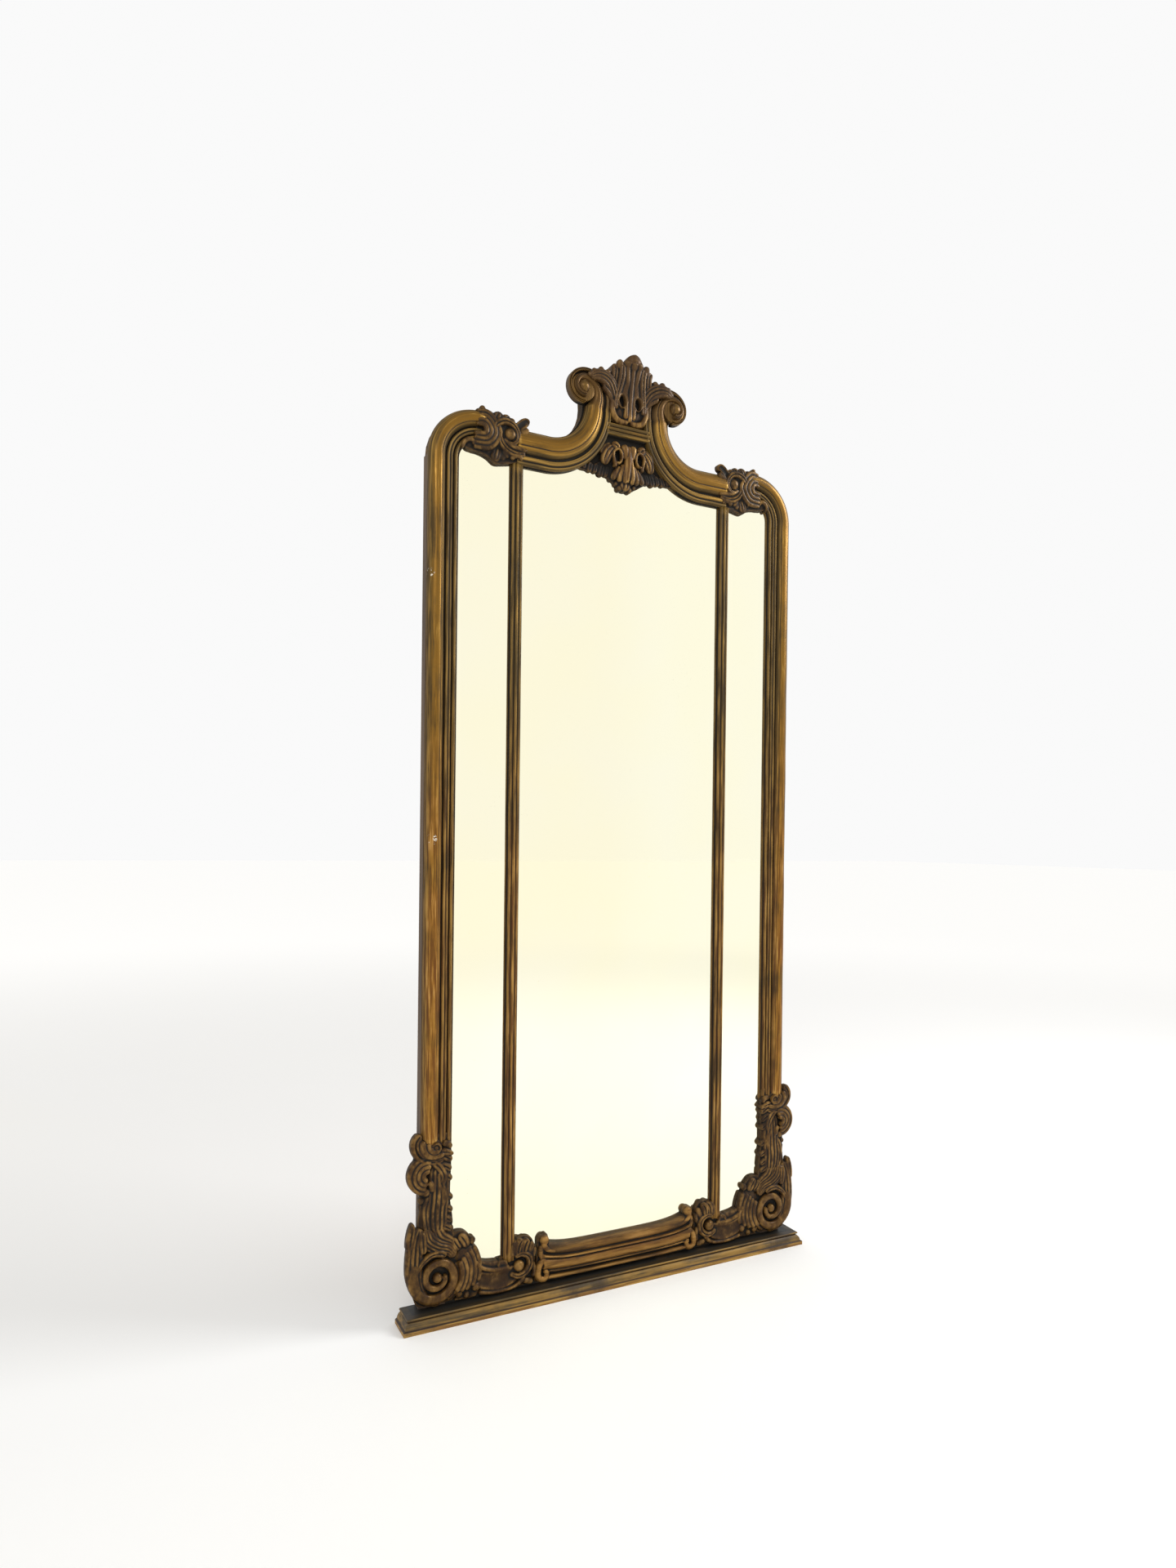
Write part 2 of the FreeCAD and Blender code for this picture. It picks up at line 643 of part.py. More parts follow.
def base_leaf():
    """The fan leaf between the base volute and the toe scroll."""
    edge = volute_edge()
    toe = TOE_LINE
    outline = [(toe + 6, FLOOR + 4)] + edge + [
        (edge[-1][0] + 4, edge[-1][1] + 18), (edge[-1][0] - 8, edge[-1][1] + 12),
        (edge[-1][0] - 16, edge[-1][1] - 2), (edge[-1][0] - 34, edge[-1][1] - 14),
        (toe + 8, FLOOR + 92), (toe, FLOOR + 76), (toe - 2, FLOOR + 40)]
    centre = (toe + 0.7 * (LEAF_EDGE - toe), FLOOR + 62)
    keep_pair("base_leaf", relief(outline, centre, carving_levels(0.4)))


def toe_scroll():
    """The hollow foot under each mullion, curling up into a small scroll."""
    toe = TOE_LINE
    tip = MULLION - 66
    foot = size("mullion_foot")
    half = size("mullion_width") / 2
    low = FLOOR + 4
    outline = [(toe + 4, low), (toe - 2, FLOOR + 40), (toe - 1, FLOOR + 76), (toe - 16, foot + 2),
               (MULLION + half, foot), (MULLION - half, foot), (MULLION - half, foot + 28),
               (MULLION - 26, foot + 37), (MULLION - 42, foot + 34), (MULLION - 56, foot + 20),
               (tip, foot - 6), (tip + 2, foot - 34), (tip + 14, low + 14), (tip + 34, low + 3),
               (MULLION - 6, low)]
    keep_pair("toe_scroll", relief(outline, (MULLION - 8, FLOOR + 42), carving_levels(0.55, -2)))


def bottom_panel():
    """The moulded panel between the toe scrolls: its top edge dips in the middle."""
    half = size("panel_half_width")
    tall = size("panel_height")
    deep = size("ornament_relief")
    low = FLOOR + 6
    section = ((0.0, 0.0), (0.0, 0.45), (0.07, 0.62), (0.14, 0.45), (0.19, 0.34), (0.32, 0.62),
               (0.48, 0.72), (0.62, 0.62), (0.69, 0.4), (0.75, 0.62), (0.82, 0.72), (0.9, 0.55),
               (0.92, 0.35), (1.0, 0.3), (1.0, 0.0))
    rings = []
    count = 8
    for step in range(-count, count + 1):
        x = half * step / count
        height = tall + 24 * abs(step / count) ** 5
        rings.append([Vector(x, SEAT - deep * forward, low + height * up) for up, forward in section])
    keep("bottom_panel", carved_loft(rings))


def crest(scroll):
    """Crossbar, upper leaf and pendant leaf between the two C-scrolls."""
    tool = scroll.fuse(scroll.mirror(Vector(0, 0, 0), Vector(1, 0, 0)))
    bar_low = SCROLL_Z - 52
    tall = size("crossbar_height")
    reed = tall / 6
    section = []
    for k in range(3):
        for angle in (0, 60, 120):
            a = math.radians(angle)
            section.append((bar_low + reed * (1 + 2 * k) - reed * math.cos(a),
                            SEAT - 8 - reed * 1.3 * math.sin(a)))
    section.append((bar_low + tall, SEAT - 8))
    section = [(bar_low, SEAT)] + section + [(bar_low + tall, SEAT)]
    reach = size("scroll_radius") + size("scroll_neck") / 2
    half = SCROLL_X - math.sqrt(reach ** 2 - (SCROLL_Z - bar_low - tall / 2) ** 2) + 6
    face = Part.Face(polygon([Vector(-half, y, z) for z, y in section]))
    keep("crest_crossbar", face.extrude(Vector(2 * half, 0, 0)).cut(tool))

    foot = bar_low + tall + 2
    top = FINIAL_TOP
    overhang = size("finial_reach")
    levels = ((0.0, 34, 0, 20), (0.12, 44, 0, 24), (0.3, 42, 0, 26), (0.46, 52, 2, 28),
              (0.58, 60, 6, 30), (0.68, 46, 12, 32), (0.78, 50, 20, 30), (0.88, 34, 30, 26),
              (0.96, 26, 36, 22), (1.0, 12, 39, 14))
    rings = []
    for share, half, forward, deep in levels:
        z = foot + (top - foot) * share
        back = SEAT - forward * (overhang + SEAT) / 60
        front = max(back - deep, -overhang)
        ring = [(-half, back), (-half * 0.72, front + deep * 0.3), (-half * 0.3, front + deep * 0.16),
                (0, front), (half * 0.3, front + deep * 0.16), (half * 0.72, front + deep * 0.3),
                (half, back)]
        rings.append([Vector(x, y, z) for x, y in ring])
    keep("crest_upper_leaf", carved_loft(rings).cut(tool))

    head = bar_low - 8
    low = BOARD_LOW - 44
    right = [(26, head), (50, head - 22), (62, head - 44), (88, head - 76), (112, head - 84),
             (128, head - 82), (130, head - 92), (112, head - 96), (84, head - 104),
             (58, head - 108), (38, head - 114), (22, low + 14), (16, low + 3)]
    outline = right + [(0, low)] + [(-x, z) for x, z in reversed(right)]
    pendant = relief(outline, (0, head - 60), carving_levels(0.3, 4))
    keep("crest_pendant_leaf", pendant.cut(tool))


# ---------------------------------------------------------------- assembly

def screw_places():
    """Four screws, evenly spaced along the bottom rail."""
    reach = STILE_IN - size("screw_inset")
    return [reach * share for share in (-1.0, -1 / 3, 1 / 3, 1.0)]


screws = []
pockets = []
for place in screw_places():
    body, pocket = screw(place)
    screws.append(body)
    pockets.append(pocket)
screw_group = Part.makeCompound(screws)
keep("plinth_screws", screw_group)
plinth_core(screws + pockets)
plinth_mouldings()
rail = carcase()
keep("bottom_rail", rail.cut(screws))
plates()
backboards()
side_and_shoulder()
scroll_shape = c_scroll()
mullion()
corner_clasp()
side_drop()
base_volute()
base_leaf()
toe_scroll()
bottom_panel()
crest(scroll_shape)
doc.recompute()

for piece in pieces:
    if "Invalid" in piece.State or "Error" in piece.State:
        raise RuntimeError("failed: " + piece.Label)
    if piece.Shape.isNull() or not piece.Shape.isValid():
        raise RuntimeError("bad shape: " + piece.Label)

os.makedirs("parts", exist_ok=True)
for piece in pieces:
    piece.Shape.exportStep("parts/" + piece.Label + ".step")
    print(piece.Label, len(piece.Shape.Solids), round(piece.Shape.Volume / 1000.0, 1))
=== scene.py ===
import math

import bpy
import numpy as np
from mathutils import Matrix, Vector


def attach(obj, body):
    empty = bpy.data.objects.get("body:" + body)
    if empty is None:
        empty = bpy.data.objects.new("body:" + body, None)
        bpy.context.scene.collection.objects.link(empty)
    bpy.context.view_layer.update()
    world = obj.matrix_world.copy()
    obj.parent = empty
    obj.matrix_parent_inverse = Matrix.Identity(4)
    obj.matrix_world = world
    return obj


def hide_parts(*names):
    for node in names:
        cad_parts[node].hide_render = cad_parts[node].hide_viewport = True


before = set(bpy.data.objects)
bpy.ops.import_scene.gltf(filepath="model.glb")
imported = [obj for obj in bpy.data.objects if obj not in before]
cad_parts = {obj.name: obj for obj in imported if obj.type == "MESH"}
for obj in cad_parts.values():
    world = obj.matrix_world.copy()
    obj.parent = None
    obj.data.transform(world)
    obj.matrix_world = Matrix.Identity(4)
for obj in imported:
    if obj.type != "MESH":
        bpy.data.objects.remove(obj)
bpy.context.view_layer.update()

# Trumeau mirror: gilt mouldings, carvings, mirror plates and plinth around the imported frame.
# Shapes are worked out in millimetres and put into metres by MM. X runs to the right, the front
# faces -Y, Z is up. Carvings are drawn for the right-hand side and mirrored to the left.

MM = 0.001
SEAT = 10.0                               # where the carvings lie, behind the middle of the plinth
HALF = 468.0                              # half the width over the side mouldings
SPRING = 1810.0                           # where the shoulders start
SHOULDER_RADIUS = 110.0
SHOULDER_X = HALF - SHOULDER_RADIUS
SHOULDER_TOP = SPRING + SHOULDER_RADIUS
SIDE_FOOT = 372.0
MOULDING = 68.0
RELIEF = 19.0
RUN_Z = SHOULDER_TOP - 60                 # the middle of the C-scroll's straight run
SCROLL_X = 200.0
SCROLL_RADIUS = 125.0
SCROLL_Z = RUN_Z + SCROLL_RADIUS
SCROLL_WIDE = 78.0
SCROLL_NECK = 64.0
VOLUTE = (SCROLL_X - 82, SCROLL_Z + 35)
MULLION = 270.0
MULLION_HALF = 16.0
MULLION_FOOT = 96.0
MULLION_HEAD = RUN_Z - SCROLL_WIDE / 2 + 1
CROSSBAR_HALF = 56.0
CROSSBAR_LOW = SCROLL_Z - 52
CROSSBAR_TOP = CROSSBAR_LOW + 27
BASE_EYE = (HALF - 36, 95.0)
PANEL_HALF = 190.0


# ---- curves and skins

def through(rows, count):
    """A smooth curve through rows: cubic spans whose slope at a row follows its two neighbours.

    The first three columns are a place; count rows come back, evenly spaced along the curve.
    """
    rows = np.asarray(rows, float)
    padded = np.vstack([2 * rows[0] - rows[1], rows, 2 * rows[-1] - rows[-2]])
    share = np.linspace(0, len(rows) - 1, 14 * len(rows))
    span = np.minimum(share.astype(int), len(rows) - 2)
    t = (share - span)[:, None]
    a, b, c, d = (padded[span + k] for k in range(4))
    fine = 0.5 * (2 * b + (c - a) * t + (2 * a - 5 * b + 4 * c - d) * t ** 2
                  + (3 * b - a - 3 * c + d) * t ** 3)
    run = np.concatenate([[0], np.cumsum(np.linalg.norm(np.diff(fine[:, :3], axis=0), axis=1))])
    even = np.linspace(0, run[-1], count)
    return np.column_stack([np.interp(even, run, column) for column in fine.T])


def unit(vectors):
    """The same directions with length one."""
    return vectors / np.maximum(np.linalg.norm(vectors, axis=-1, keepdims=True), 1e-9)


def skin_of(rings):
    """Points and faces of a closed skin: each ring joined to the next, with a lid at both ends."""
    count, around = rings.shape[:2]
    at = np.arange(count * around).reshape(count, around)
    turned = np.roll(at, -1, axis=1)
    sides = np.stack([at[:-1], turned[:-1], turned[1:], at[1:]], axis=-1).reshape(-1, 4)
    points = rings.reshape(-1, 3)
    a, b, c, d = (points[sides[:, k]] for k in range(4))
    volume = np.sum(np.cross(b - a, c - a) * (a + b + c) + np.cross(c - a, d - a) * (a + c + d))
    lids = [at[0][::-1], at[-1]]
    if volume < 0:
        sides = sides[:, ::-1]
        lids = [lid[::-1] for lid in lids]
    return points, [tuple(face) for face in sides.tolist()] + [tuple(lid.tolist()) for lid in lids]


def mesh_of(name, skins):
    """One mesh from several closed skins, taken from millimetres to metres."""
    points = []
    faces = []
    start = 0
    for own_points, own_faces in skins:
        points.append(own_points)
        faces += [tuple(start + corner for corner in face) for face in own_faces]
        start += len(own_points)
    mesh = bpy.data.meshes.new(name)
    mesh.from_pydata((np.vstack(points) * MM).tolist(), [], faces)
    mesh.update()
    return mesh


# ---- sections

def dome(s):
    """A half-round section."""
    return np.sqrt(np.clip(1 - np.abs(s) ** 2.4, 0, 1))


def veined(s):
    """A leaf's section: half round, with a groove down its middle."""
    return dome(s) * (1 - 0.55 * np.exp(-(s / 0.16) ** 2))


def hollow(s):
    """A strap's section: a trough between two raised edges."""
    trough = 0.4 + 0.6 * np.clip(np.abs(s) / 0.78, 0, 1) ** 3
    return np.sqrt(np.clip(1 - np.abs(s) ** 6, 0, 1)) * trough


def fluted(count, depth=0.45):
    """A section of count rounded ribs side by side under one broad curve."""
    def section(s):
        """The broad curve, cut down between the ribs by depth."""
        rib = np.abs(np.sin(np.pi * count * (s + 1) / 2)) ** 0.7
        return dome(s) * (1 - depth + depth * rib)
    return section


def humps(s, rows, foot):
    """A moulding's section: over a flat foot, the highest of several round humps.

    Each row is a hump's start and end across, the height it springs from and its rise, as shares.
    Both edges of the section come down to the seat.
    """
    height = np.full(len(s), foot)
    for start, end, spring, rise in rows:
        t = np.clip(np.abs((s - (start + end) / 2) / ((end - start) / 2)), 0, 1)
        height = np.maximum(height, np.where(t < 1, spring + rise * np.sqrt(1 - t ** 2), 0))
    height[[0, -1]] = 0.0
    return height


# ---- carving strokes

def stroke(rows, forward=6.0, form=dome, back=None, blade=False):
    """A carved ribbon, a section carried along a path, as one closed skin.

    A row is (x, z, half width, rise) and may end with how far forward of the seat the path runs.
    Height over the path is rise times form(s), with s from -1 to 1 across. The back lies on the
    seat, or back behind the path. A blade keeps its width along X and may roll forward. Both
    ends are drawn in as a half circle.
    """
    rows = np.array([list(row) + [forward] * (5 - len(row)) for row in rows], float)
    ordered = rows[:, [0, 4, 1, 2, 3]]
    length = np.linalg.norm(np.diff(ordered[:, :3], axis=0), axis=1).sum()
    count = int(np.clip(length / 1.6, 14, 150))
    path = through(ordered, count)
    place, half, rise = path[:, :3], path[:, 3], path[:, 4]
    run = np.linspace(0, length, count)
    for end, distance in ((0, run), (-1, length - run)):
        t = np.clip(1 - distance / max(half[end], 0.5), 0, 0.999)
        half = half * np.sqrt(1 - t ** 2)
        rise = rise * np.sqrt(1 - t ** 2) ** 0.6
    along = unit(np.gradient(place, axis=0))
    if blade:
        side = np.tile([1.0, 0.0, 0.0], (count, 1))
        out = unit(np.cross(along, side))
    else:
        side = unit(np.column_stack([along[:, 2], np.zeros(count), -along[:, 0]]))
        out = np.tile([0.0, 1.0, 0.0], (count, 1))
    s = np.sin(np.linspace(-1, 1, 27) * np.pi / 2)
    front = (place[:, None] + side[:, None] * (half[:, None] * s)[..., None]
             + out[:, None] * (rise[:, None] * form(s))[..., None])
    s_back = s[::-3]
    behind = place[:, None] + side[:, None] * (half[:, None] * s_back)[..., None]
    if back is None:
        behind[..., 1] = 0.0
    else:
        behind = behind - out[:, None] * (back * (0.3 + 0.7 * dome(s_back)))[None, :, None]
    rings = np.concatenate([front, behind], axis=1)
    rings[..., 1] = SEAT - rings[..., 1]
    return skin_of(rings)


def plate(outline, thick):
    """A flat piece with a smooth outline in (x, z), standing thick forward of the seat."""
    ring = np.array([[x, 0.0, z] for x, z in outline] + [[outline[0][0], 0.0, outline[0][1]]])
    edge = through(ring, 12 * len(outline))[:-1]
    rings = np.stack([edge + [0, SEAT, 0], edge + [0, SEAT - thick, 0]])
    return skin_of(rings)


def bead(x, z, radius, rise, forward):
    """A round bead: circles that shrink as the square root of what is left of its rise."""
    turn = np.linspace(0, 2 * np.pi, 24, endpoint=False)
    lift = np.linspace(0, 1, 9)
    radii = np.concatenate([[radius], radius * np.sqrt(np.clip(1 - lift ** 2, 0.002, 1))])
    heights = np.concatenate([[0.0], forward + rise * lift])
    rings = np.stack([x + radii[:, None] * np.cos(turn), SEAT - np.repeat(heights[:, None], 24, 1),
                      z + radii[:, None] * np.sin(turn)], axis=-1)
    return skin_of(rings)


def arc(centre, radius, start, end, half, rise, forward, squash=1.0, steps=9):
    """A stroke that follows an arc about centre; angles in degrees, squash narrows it across."""
    angles = np.radians(np.linspace(start, end, steps))
    return stroke([(centre[0] + squash * radius * math.cos(a), centre[1] + radius * math.sin(a),
                    half, rise) for a in angles], forward)


def mirrored(skin):
    """The same skin on the other side of the mirror's middle."""
    points, faces = skin
    return points * [-1, 1, 1], [face[::-1] for face in faces]


def closed(half):
    """An outline from its right half, which runs from the middle round to the middle."""
    return half + [(-x, z) for x, z in half[-2:0:-1]]


def placed(skins, origin):
    """Skins drawn about a place of their own, moved to that place, origin in (x, z)."""
    return [(points + [origin[0], 0, origin[1]], faces) for points, faces in skins]


def both(skins):
    """Skins and their mirror images."""
    return skins + [mirrored(skin) for skin in skins]


# ---- finishing meshes

def spread(mesh, values, rounds):
    """Each vertex's value averaged with its neighbours', several times over."""
    edges = np.empty(len(mesh.edges) * 2, np.int32)
    mesh.edges.foreach_get("vertices", edges)
    first, second = edges[::2], edges[1::2]
    here = np.concatenate([first, second])
    there = np.concatenate([second, first])
    number = len(mesh.vertices)
    shared = np.maximum(np.bincount(here, minlength=number), 1)
    for _ in range(rounds):
        mean = np.column_stack([np.bincount(here, weights=column[there], minlength=number) / shared
                                for column in values.T])
        values = 0.5 * values + 0.5 * mean
    return values


def places_of(mesh):
    """A mesh's vertices as an array, in metres."""
    values = np.empty(len(mesh.vertices) * 3, np.float32)
    mesh.vertices.foreach_get("co", values)
    return values.reshape(-1, 3).astype(float)


def weathered_and_shaded(mesh, shade, fine=6, broad=40):
    """Marks where dirt and painted shade lie, where crests take wear and painted highlights,
    and what stands proud.

    A vertex that lies below its smoothed surroundings is in a hollow, painted darker as dirt and
    painted shade; one that stands above is on a crest. Both are measured against a fine and a
    broad smoothing, in millimetres. Painted shade also lies below shade millimetres over the seat,
    where low walls stand in shadow. Proud climbs from the seat to 20 mm in front of it.
    """
    place = places_of(mesh)
    normal = np.empty(len(mesh.vertices) * 3, np.float32)
    mesh.vertices.foreach_get("normal", normal)
    normal = normal.reshape(-1, 3)
    near = spread(mesh, place, fine)
    wide = spread(mesh, near, broad)
    # Dirt and painted shade: below the smoothed surface in hollows, and on walls below shade mm.
    low = (np.sum((near - place) * normal, axis=1) * 1.5
           + np.sum((wide - place) * normal, axis=1) * 0.7) / MM
    forward = SEAT - place[:, 1] / MM
    low = spread(mesh, (low + np.clip((shade - forward) / 3, 0, 1))[:, None], 1)[:, 0]
    low = np.where(normal[:, 1] > 0.8, 0.2, low)
    # The first mark is dirt and painted shade, the second wear and painted highlight on crests,
    # the third height over the seat.
    for name, value in (("grime_and_shade", low), ("rubbed_and_highlit", -low), ("proud", forward / 20)):
        layer = mesh.attributes.new(name, "FLOAT", "POINT")
        layer.data.foreach_set("value", np.clip(value, 0, 1).astype(np.float32))
    mesh.polygons.foreach_set("use_smooth", np.ones(len(mesh.polygons), bool))


def fused(name, skins, grain=1.3, soften=2):
    """Fuses overlapping strokes into one closed skin and softens it, as gesso does."""
    block = bpy.data.objects.new(name, mesh_of(name, skins))
    bpy.context.scene.collection.objects.link(block)
    fuse = block.modifiers.new("fuse", "REMESH")
    fuse.mode = "VOXEL"
    fuse.voxel_size = grain * MM
    soft = block.modifiers.new("soft", "SMOOTH")
    soft.factor = 0.5
    soft.iterations = soften
    bpy.context.view_layer.update()
    depsgraph = bpy.context.evaluated_depsgraph_get()
    skin = bpy.data.meshes.new_from_object(block.evaluated_get(depsgraph))
    bpy.data.objects.remove(block)
    skin.name = name
    return skin


def pressed(mesh, centre, radii, forward):
    """Presses an oval eye into a carving: inside it the front goes down to forward.

    The wall falls softly over the outer 35% of the oval.
    """
    place = places_of(mesh)
    away = np.hypot((place[:, 0] / MM - centre[0]) / radii[0],
                    (place[:, 2] / MM - centre[1]) / radii[1])
    share = np.clip((1 - away) / 0.35, 0, 1)
    share = share * share * (3 - 2 * share)
    floor = (SEAT - forward) * MM
    front = place[:, 1] < floor
    place[front, 1] += share[front] * (floor - place[front, 1])
    mesh.vertices.foreach_set("co", place.astype(np.float32).ravel())
    mesh.update()


def laid_between(across, forward, outer, inner, height):
    """A closed skin: a section laid between two edges, station by station.

    across and forward are the section's shares. outer and inner are the edges' points in (x, z),
    one row a station, and height is how far the section stands off the seat there.
    """
    reach = outer[:, None] + (inner - outer)[:, None] * across[None, :, None]
    out = np.broadcast_to(np.reshape(height, (-1, 1)), (len(outer), 1)) * forward[None]
    front = np.stack([reach[..., 0], SEAT - out, reach[..., 1]], axis=-1)
    rear = np.stack([front[:, -1], front[:, 0]], axis=1)
    rear[..., 1] = SEAT
    return skin_of(np.concatenate([front, rear], axis=1))


def swept(name, across, forward, outer, inner, height, extra=()):
    """A moulding laid between two edges, with its run along them kept for the brush marks.

    Extra skins join the same mesh.
    """
    mesh = mesh_of(name, [laid_between(across, forward, outer, inner, height), *extra])
    along = np.concatenate([[0], np.cumsum(np.linalg.norm(np.diff(outer, axis=0), axis=1))])
    wide = np.concatenate([[0], np.cumsum(np.hypot(np.diff(across), 0.3 * np.diff(forward)))])
    wide = np.concatenate([wide, [wide[-1], 0.0]]) * np.linalg.norm(inner[0] - outer[0])
    run = np.stack(np.broadcast_arrays(wide[None, :], along[:, None]), axis=-1).reshape(-1, 2)
    run = np.vstack([run] + [points[:, [0, 2]] for points, _ in extra]) * MM
    corner = np.empty(len(mesh.loops), np.int32)
    mesh.loops.foreach_get("vertex_index", corner)
    layer = mesh.uv_layers.new(name="run")
    layer.data.foreach_set("uv", run[corner].astype(np.float32).ravel())
    return mesh


# ---- materials

class Value:
    """A number that varies over the surface; sums and products of it add Math nodes."""

    def __init__(self, paint, socket):
        self.paint = paint
        self.socket = socket

    def joined(self, operation, first, second):
        """The Math node for one operation on two values."""
        node = self.paint.node("ShaderNodeMath", {"operation": operation}, {0: first, 1: second})
        return Value(self.paint, node.outputs[0])

    def __add__(self, other):
        return self.joined("ADD", self, other)

    def __radd__(self, other):
        return self.joined("ADD", other, self)

    def __sub__(self, other):
        return self.joined("SUBTRACT", self, other)

    def __rsub__(self, other):
        return self.joined("SUBTRACT", other, self)

    def __mul__(self, other):
        return self.joined("MULTIPLY", self, other)

    def __rmul__(self, other):
        return self.joined("MULTIPLY", other, self)

    def __pow__(self, other):
        return self.joined("POWER", self, other)

    def step(self, low, high, start=0.0, end=1.0):
        """Start below low, end above high, and a soft climb between."""
        node = self.paint.node("ShaderNodeMapRange", {"interpolation_type": "SMOOTHSTEP"},
                               {"Value": self, "From Min": low, "From Max": high,
                                "To Min": start, "To Max": end})
        return Value(self.paint, node.outputs["Result"])


class Paint:
    """One material and the nodes that colour it."""

    def __init__(self, name):
        self.material = bpy.data.materials.new(name)
        self.material.use_nodes = True
        self.tree = self.material.node_tree
        self.shader = next(n for n in self.tree.nodes if n.type == "BSDF_PRINCIPLED")

    def put(self, node, sockets):
        """Gives a node's sockets their values or links."""
        for key, value in sockets.items():
            socket = node.inputs[key]
            if isinstance(value, Value):
                self.tree.links.new(value.socket, socket)
            elif isinstance(value, bpy.types.NodeSocket):
                self.tree.links.new(value, socket)
            else:
                socket.default_value = value

    def node(self, kind, settings, sockets):
        """A node of that kind: its settings are set first, then its sockets."""
        node = self.tree.nodes.new(kind)
        for name, setting in settings.items():
            setattr(node, name, setting)
        self.put(node, sockets)
        return node

    def surface(self, **sockets):
        """Sets the shader's own sockets, by their names with _ for a space."""
        self.put(self.shader, {name.replace("_", " "): value for name, value in sockets.items()})

    def coordinates(self, scale=(1.0, 1.0, 1.0), source="object"):
        """The object's own coordinates, or the run along a moulding, stretched by scale."""
        if source == "object":
            start = self.node("ShaderNodeTexCoord", {}, {}).outputs["Object"]
        else:
            start = self.node("ShaderNodeUVMap", {"uv_map": "run"}, {}).outputs["UV"]
        mapping = self.node("ShaderNodeMapping", {}, {"Vector": start, "Scale": scale})
        return mapping.outputs["Vector"]

    def noise(self, vector, scale, detail=4.0, rough=0.55):
        """Cloudy noise from 0 to 1."""
        node = self.node("ShaderNodeTexNoise", {}, {"Vector": vector, "Scale": scale,
                                                    "Detail": detail, "Roughness": rough})
        return Value(self, node.outputs[0])

    def streaks(self, stretch, source="object"):
        """Noise drawn out by stretch, for brush marks and grain."""
        return self.noise(self.coordinates(stretch, source), 1.0, 5.0, 0.6)

    def mark(self, name):
        """A number painted on the mesh."""
        node = self.node("ShaderNodeAttribute", {"attribute_name": name}, {})
        return Value(self, node.outputs["Fac"])

    def part(self, vector, axis):
        """One coordinate of a vector, X, Y or Z."""
        node = self.node("ShaderNodeSeparateXYZ", {}, {"Vector": vector})
        return Value(self, node.outputs[axis])

    def near(self, vector, spot, reach):
        """One at a spot, falling to nothing at reach from it."""
        node = self.node("ShaderNodeVectorMath", {"operation": "DISTANCE"}, {0: vector, 1: spot})
        return Value(self, node.outputs["Value"]).step(reach, 0.5 * reach)

    def mix(self, share, first, second):
        """A colour between two others."""
        node = self.node("ShaderNodeMix", {"data_type": "RGBA"}, {0: share, 6: first, 7: second})
        return node.outputs[2]

    def bump(self, height, strength, distance):
        """A normal bent by a height map."""
        node = self.node("ShaderNodeBump", {}, {"Height": height, "Strength": strength,
                                                "Distance": distance})
        return node.outputs["Normal"]


class Surround(Paint):
    """The studio's surround, coloured by the same nodes as a material."""

    def __init__(self, world):
        self.tree = world.node_tree


def tone(red, green, blue):
    """A colour with full cover."""
    return (red, green, blue, 1.0)


def grey(level):
    """A neutral colour."""
    return tone(level, level, level)


GOLD = tone(0.205, 0.104, 0.017)
# A bright gold for crests: wear, and a painted highlight.
BRIGHT = tone(0.54, 0.32, 0.075)
OLIVE = tone(0.068, 0.043, 0.010)
UMBER = tone(0.030, 0.016, 0.006)
# Near black: soot and black paint, and painted shade in the gilding's hollows.
BLACK_SOOT_AND_SHADE = tone(0.008, 0.007, 0.006)
GESSO = tone(0.70, 0.64, 0.54)
STAIN = (tone(0.12, 0.075, 0.045), tone(0.045, 0.028, 0.018))
PINE = (tone(0.50, 0.34, 0.19), tone(0.33, 0.20, 0.10))
CHIPS = (((-0.172, -0.010, 1.975), 0.030), ((-0.160, -0.012, 1.935), 0.018),
         ((-0.463, -0.002, 1.560), 0.012), ((-0.455, -0.010, 1.010), 0.014),
         ((0.466, 0.002, 1.370), 0.010), ((0.466, 0.002, 0.965), 0.008))


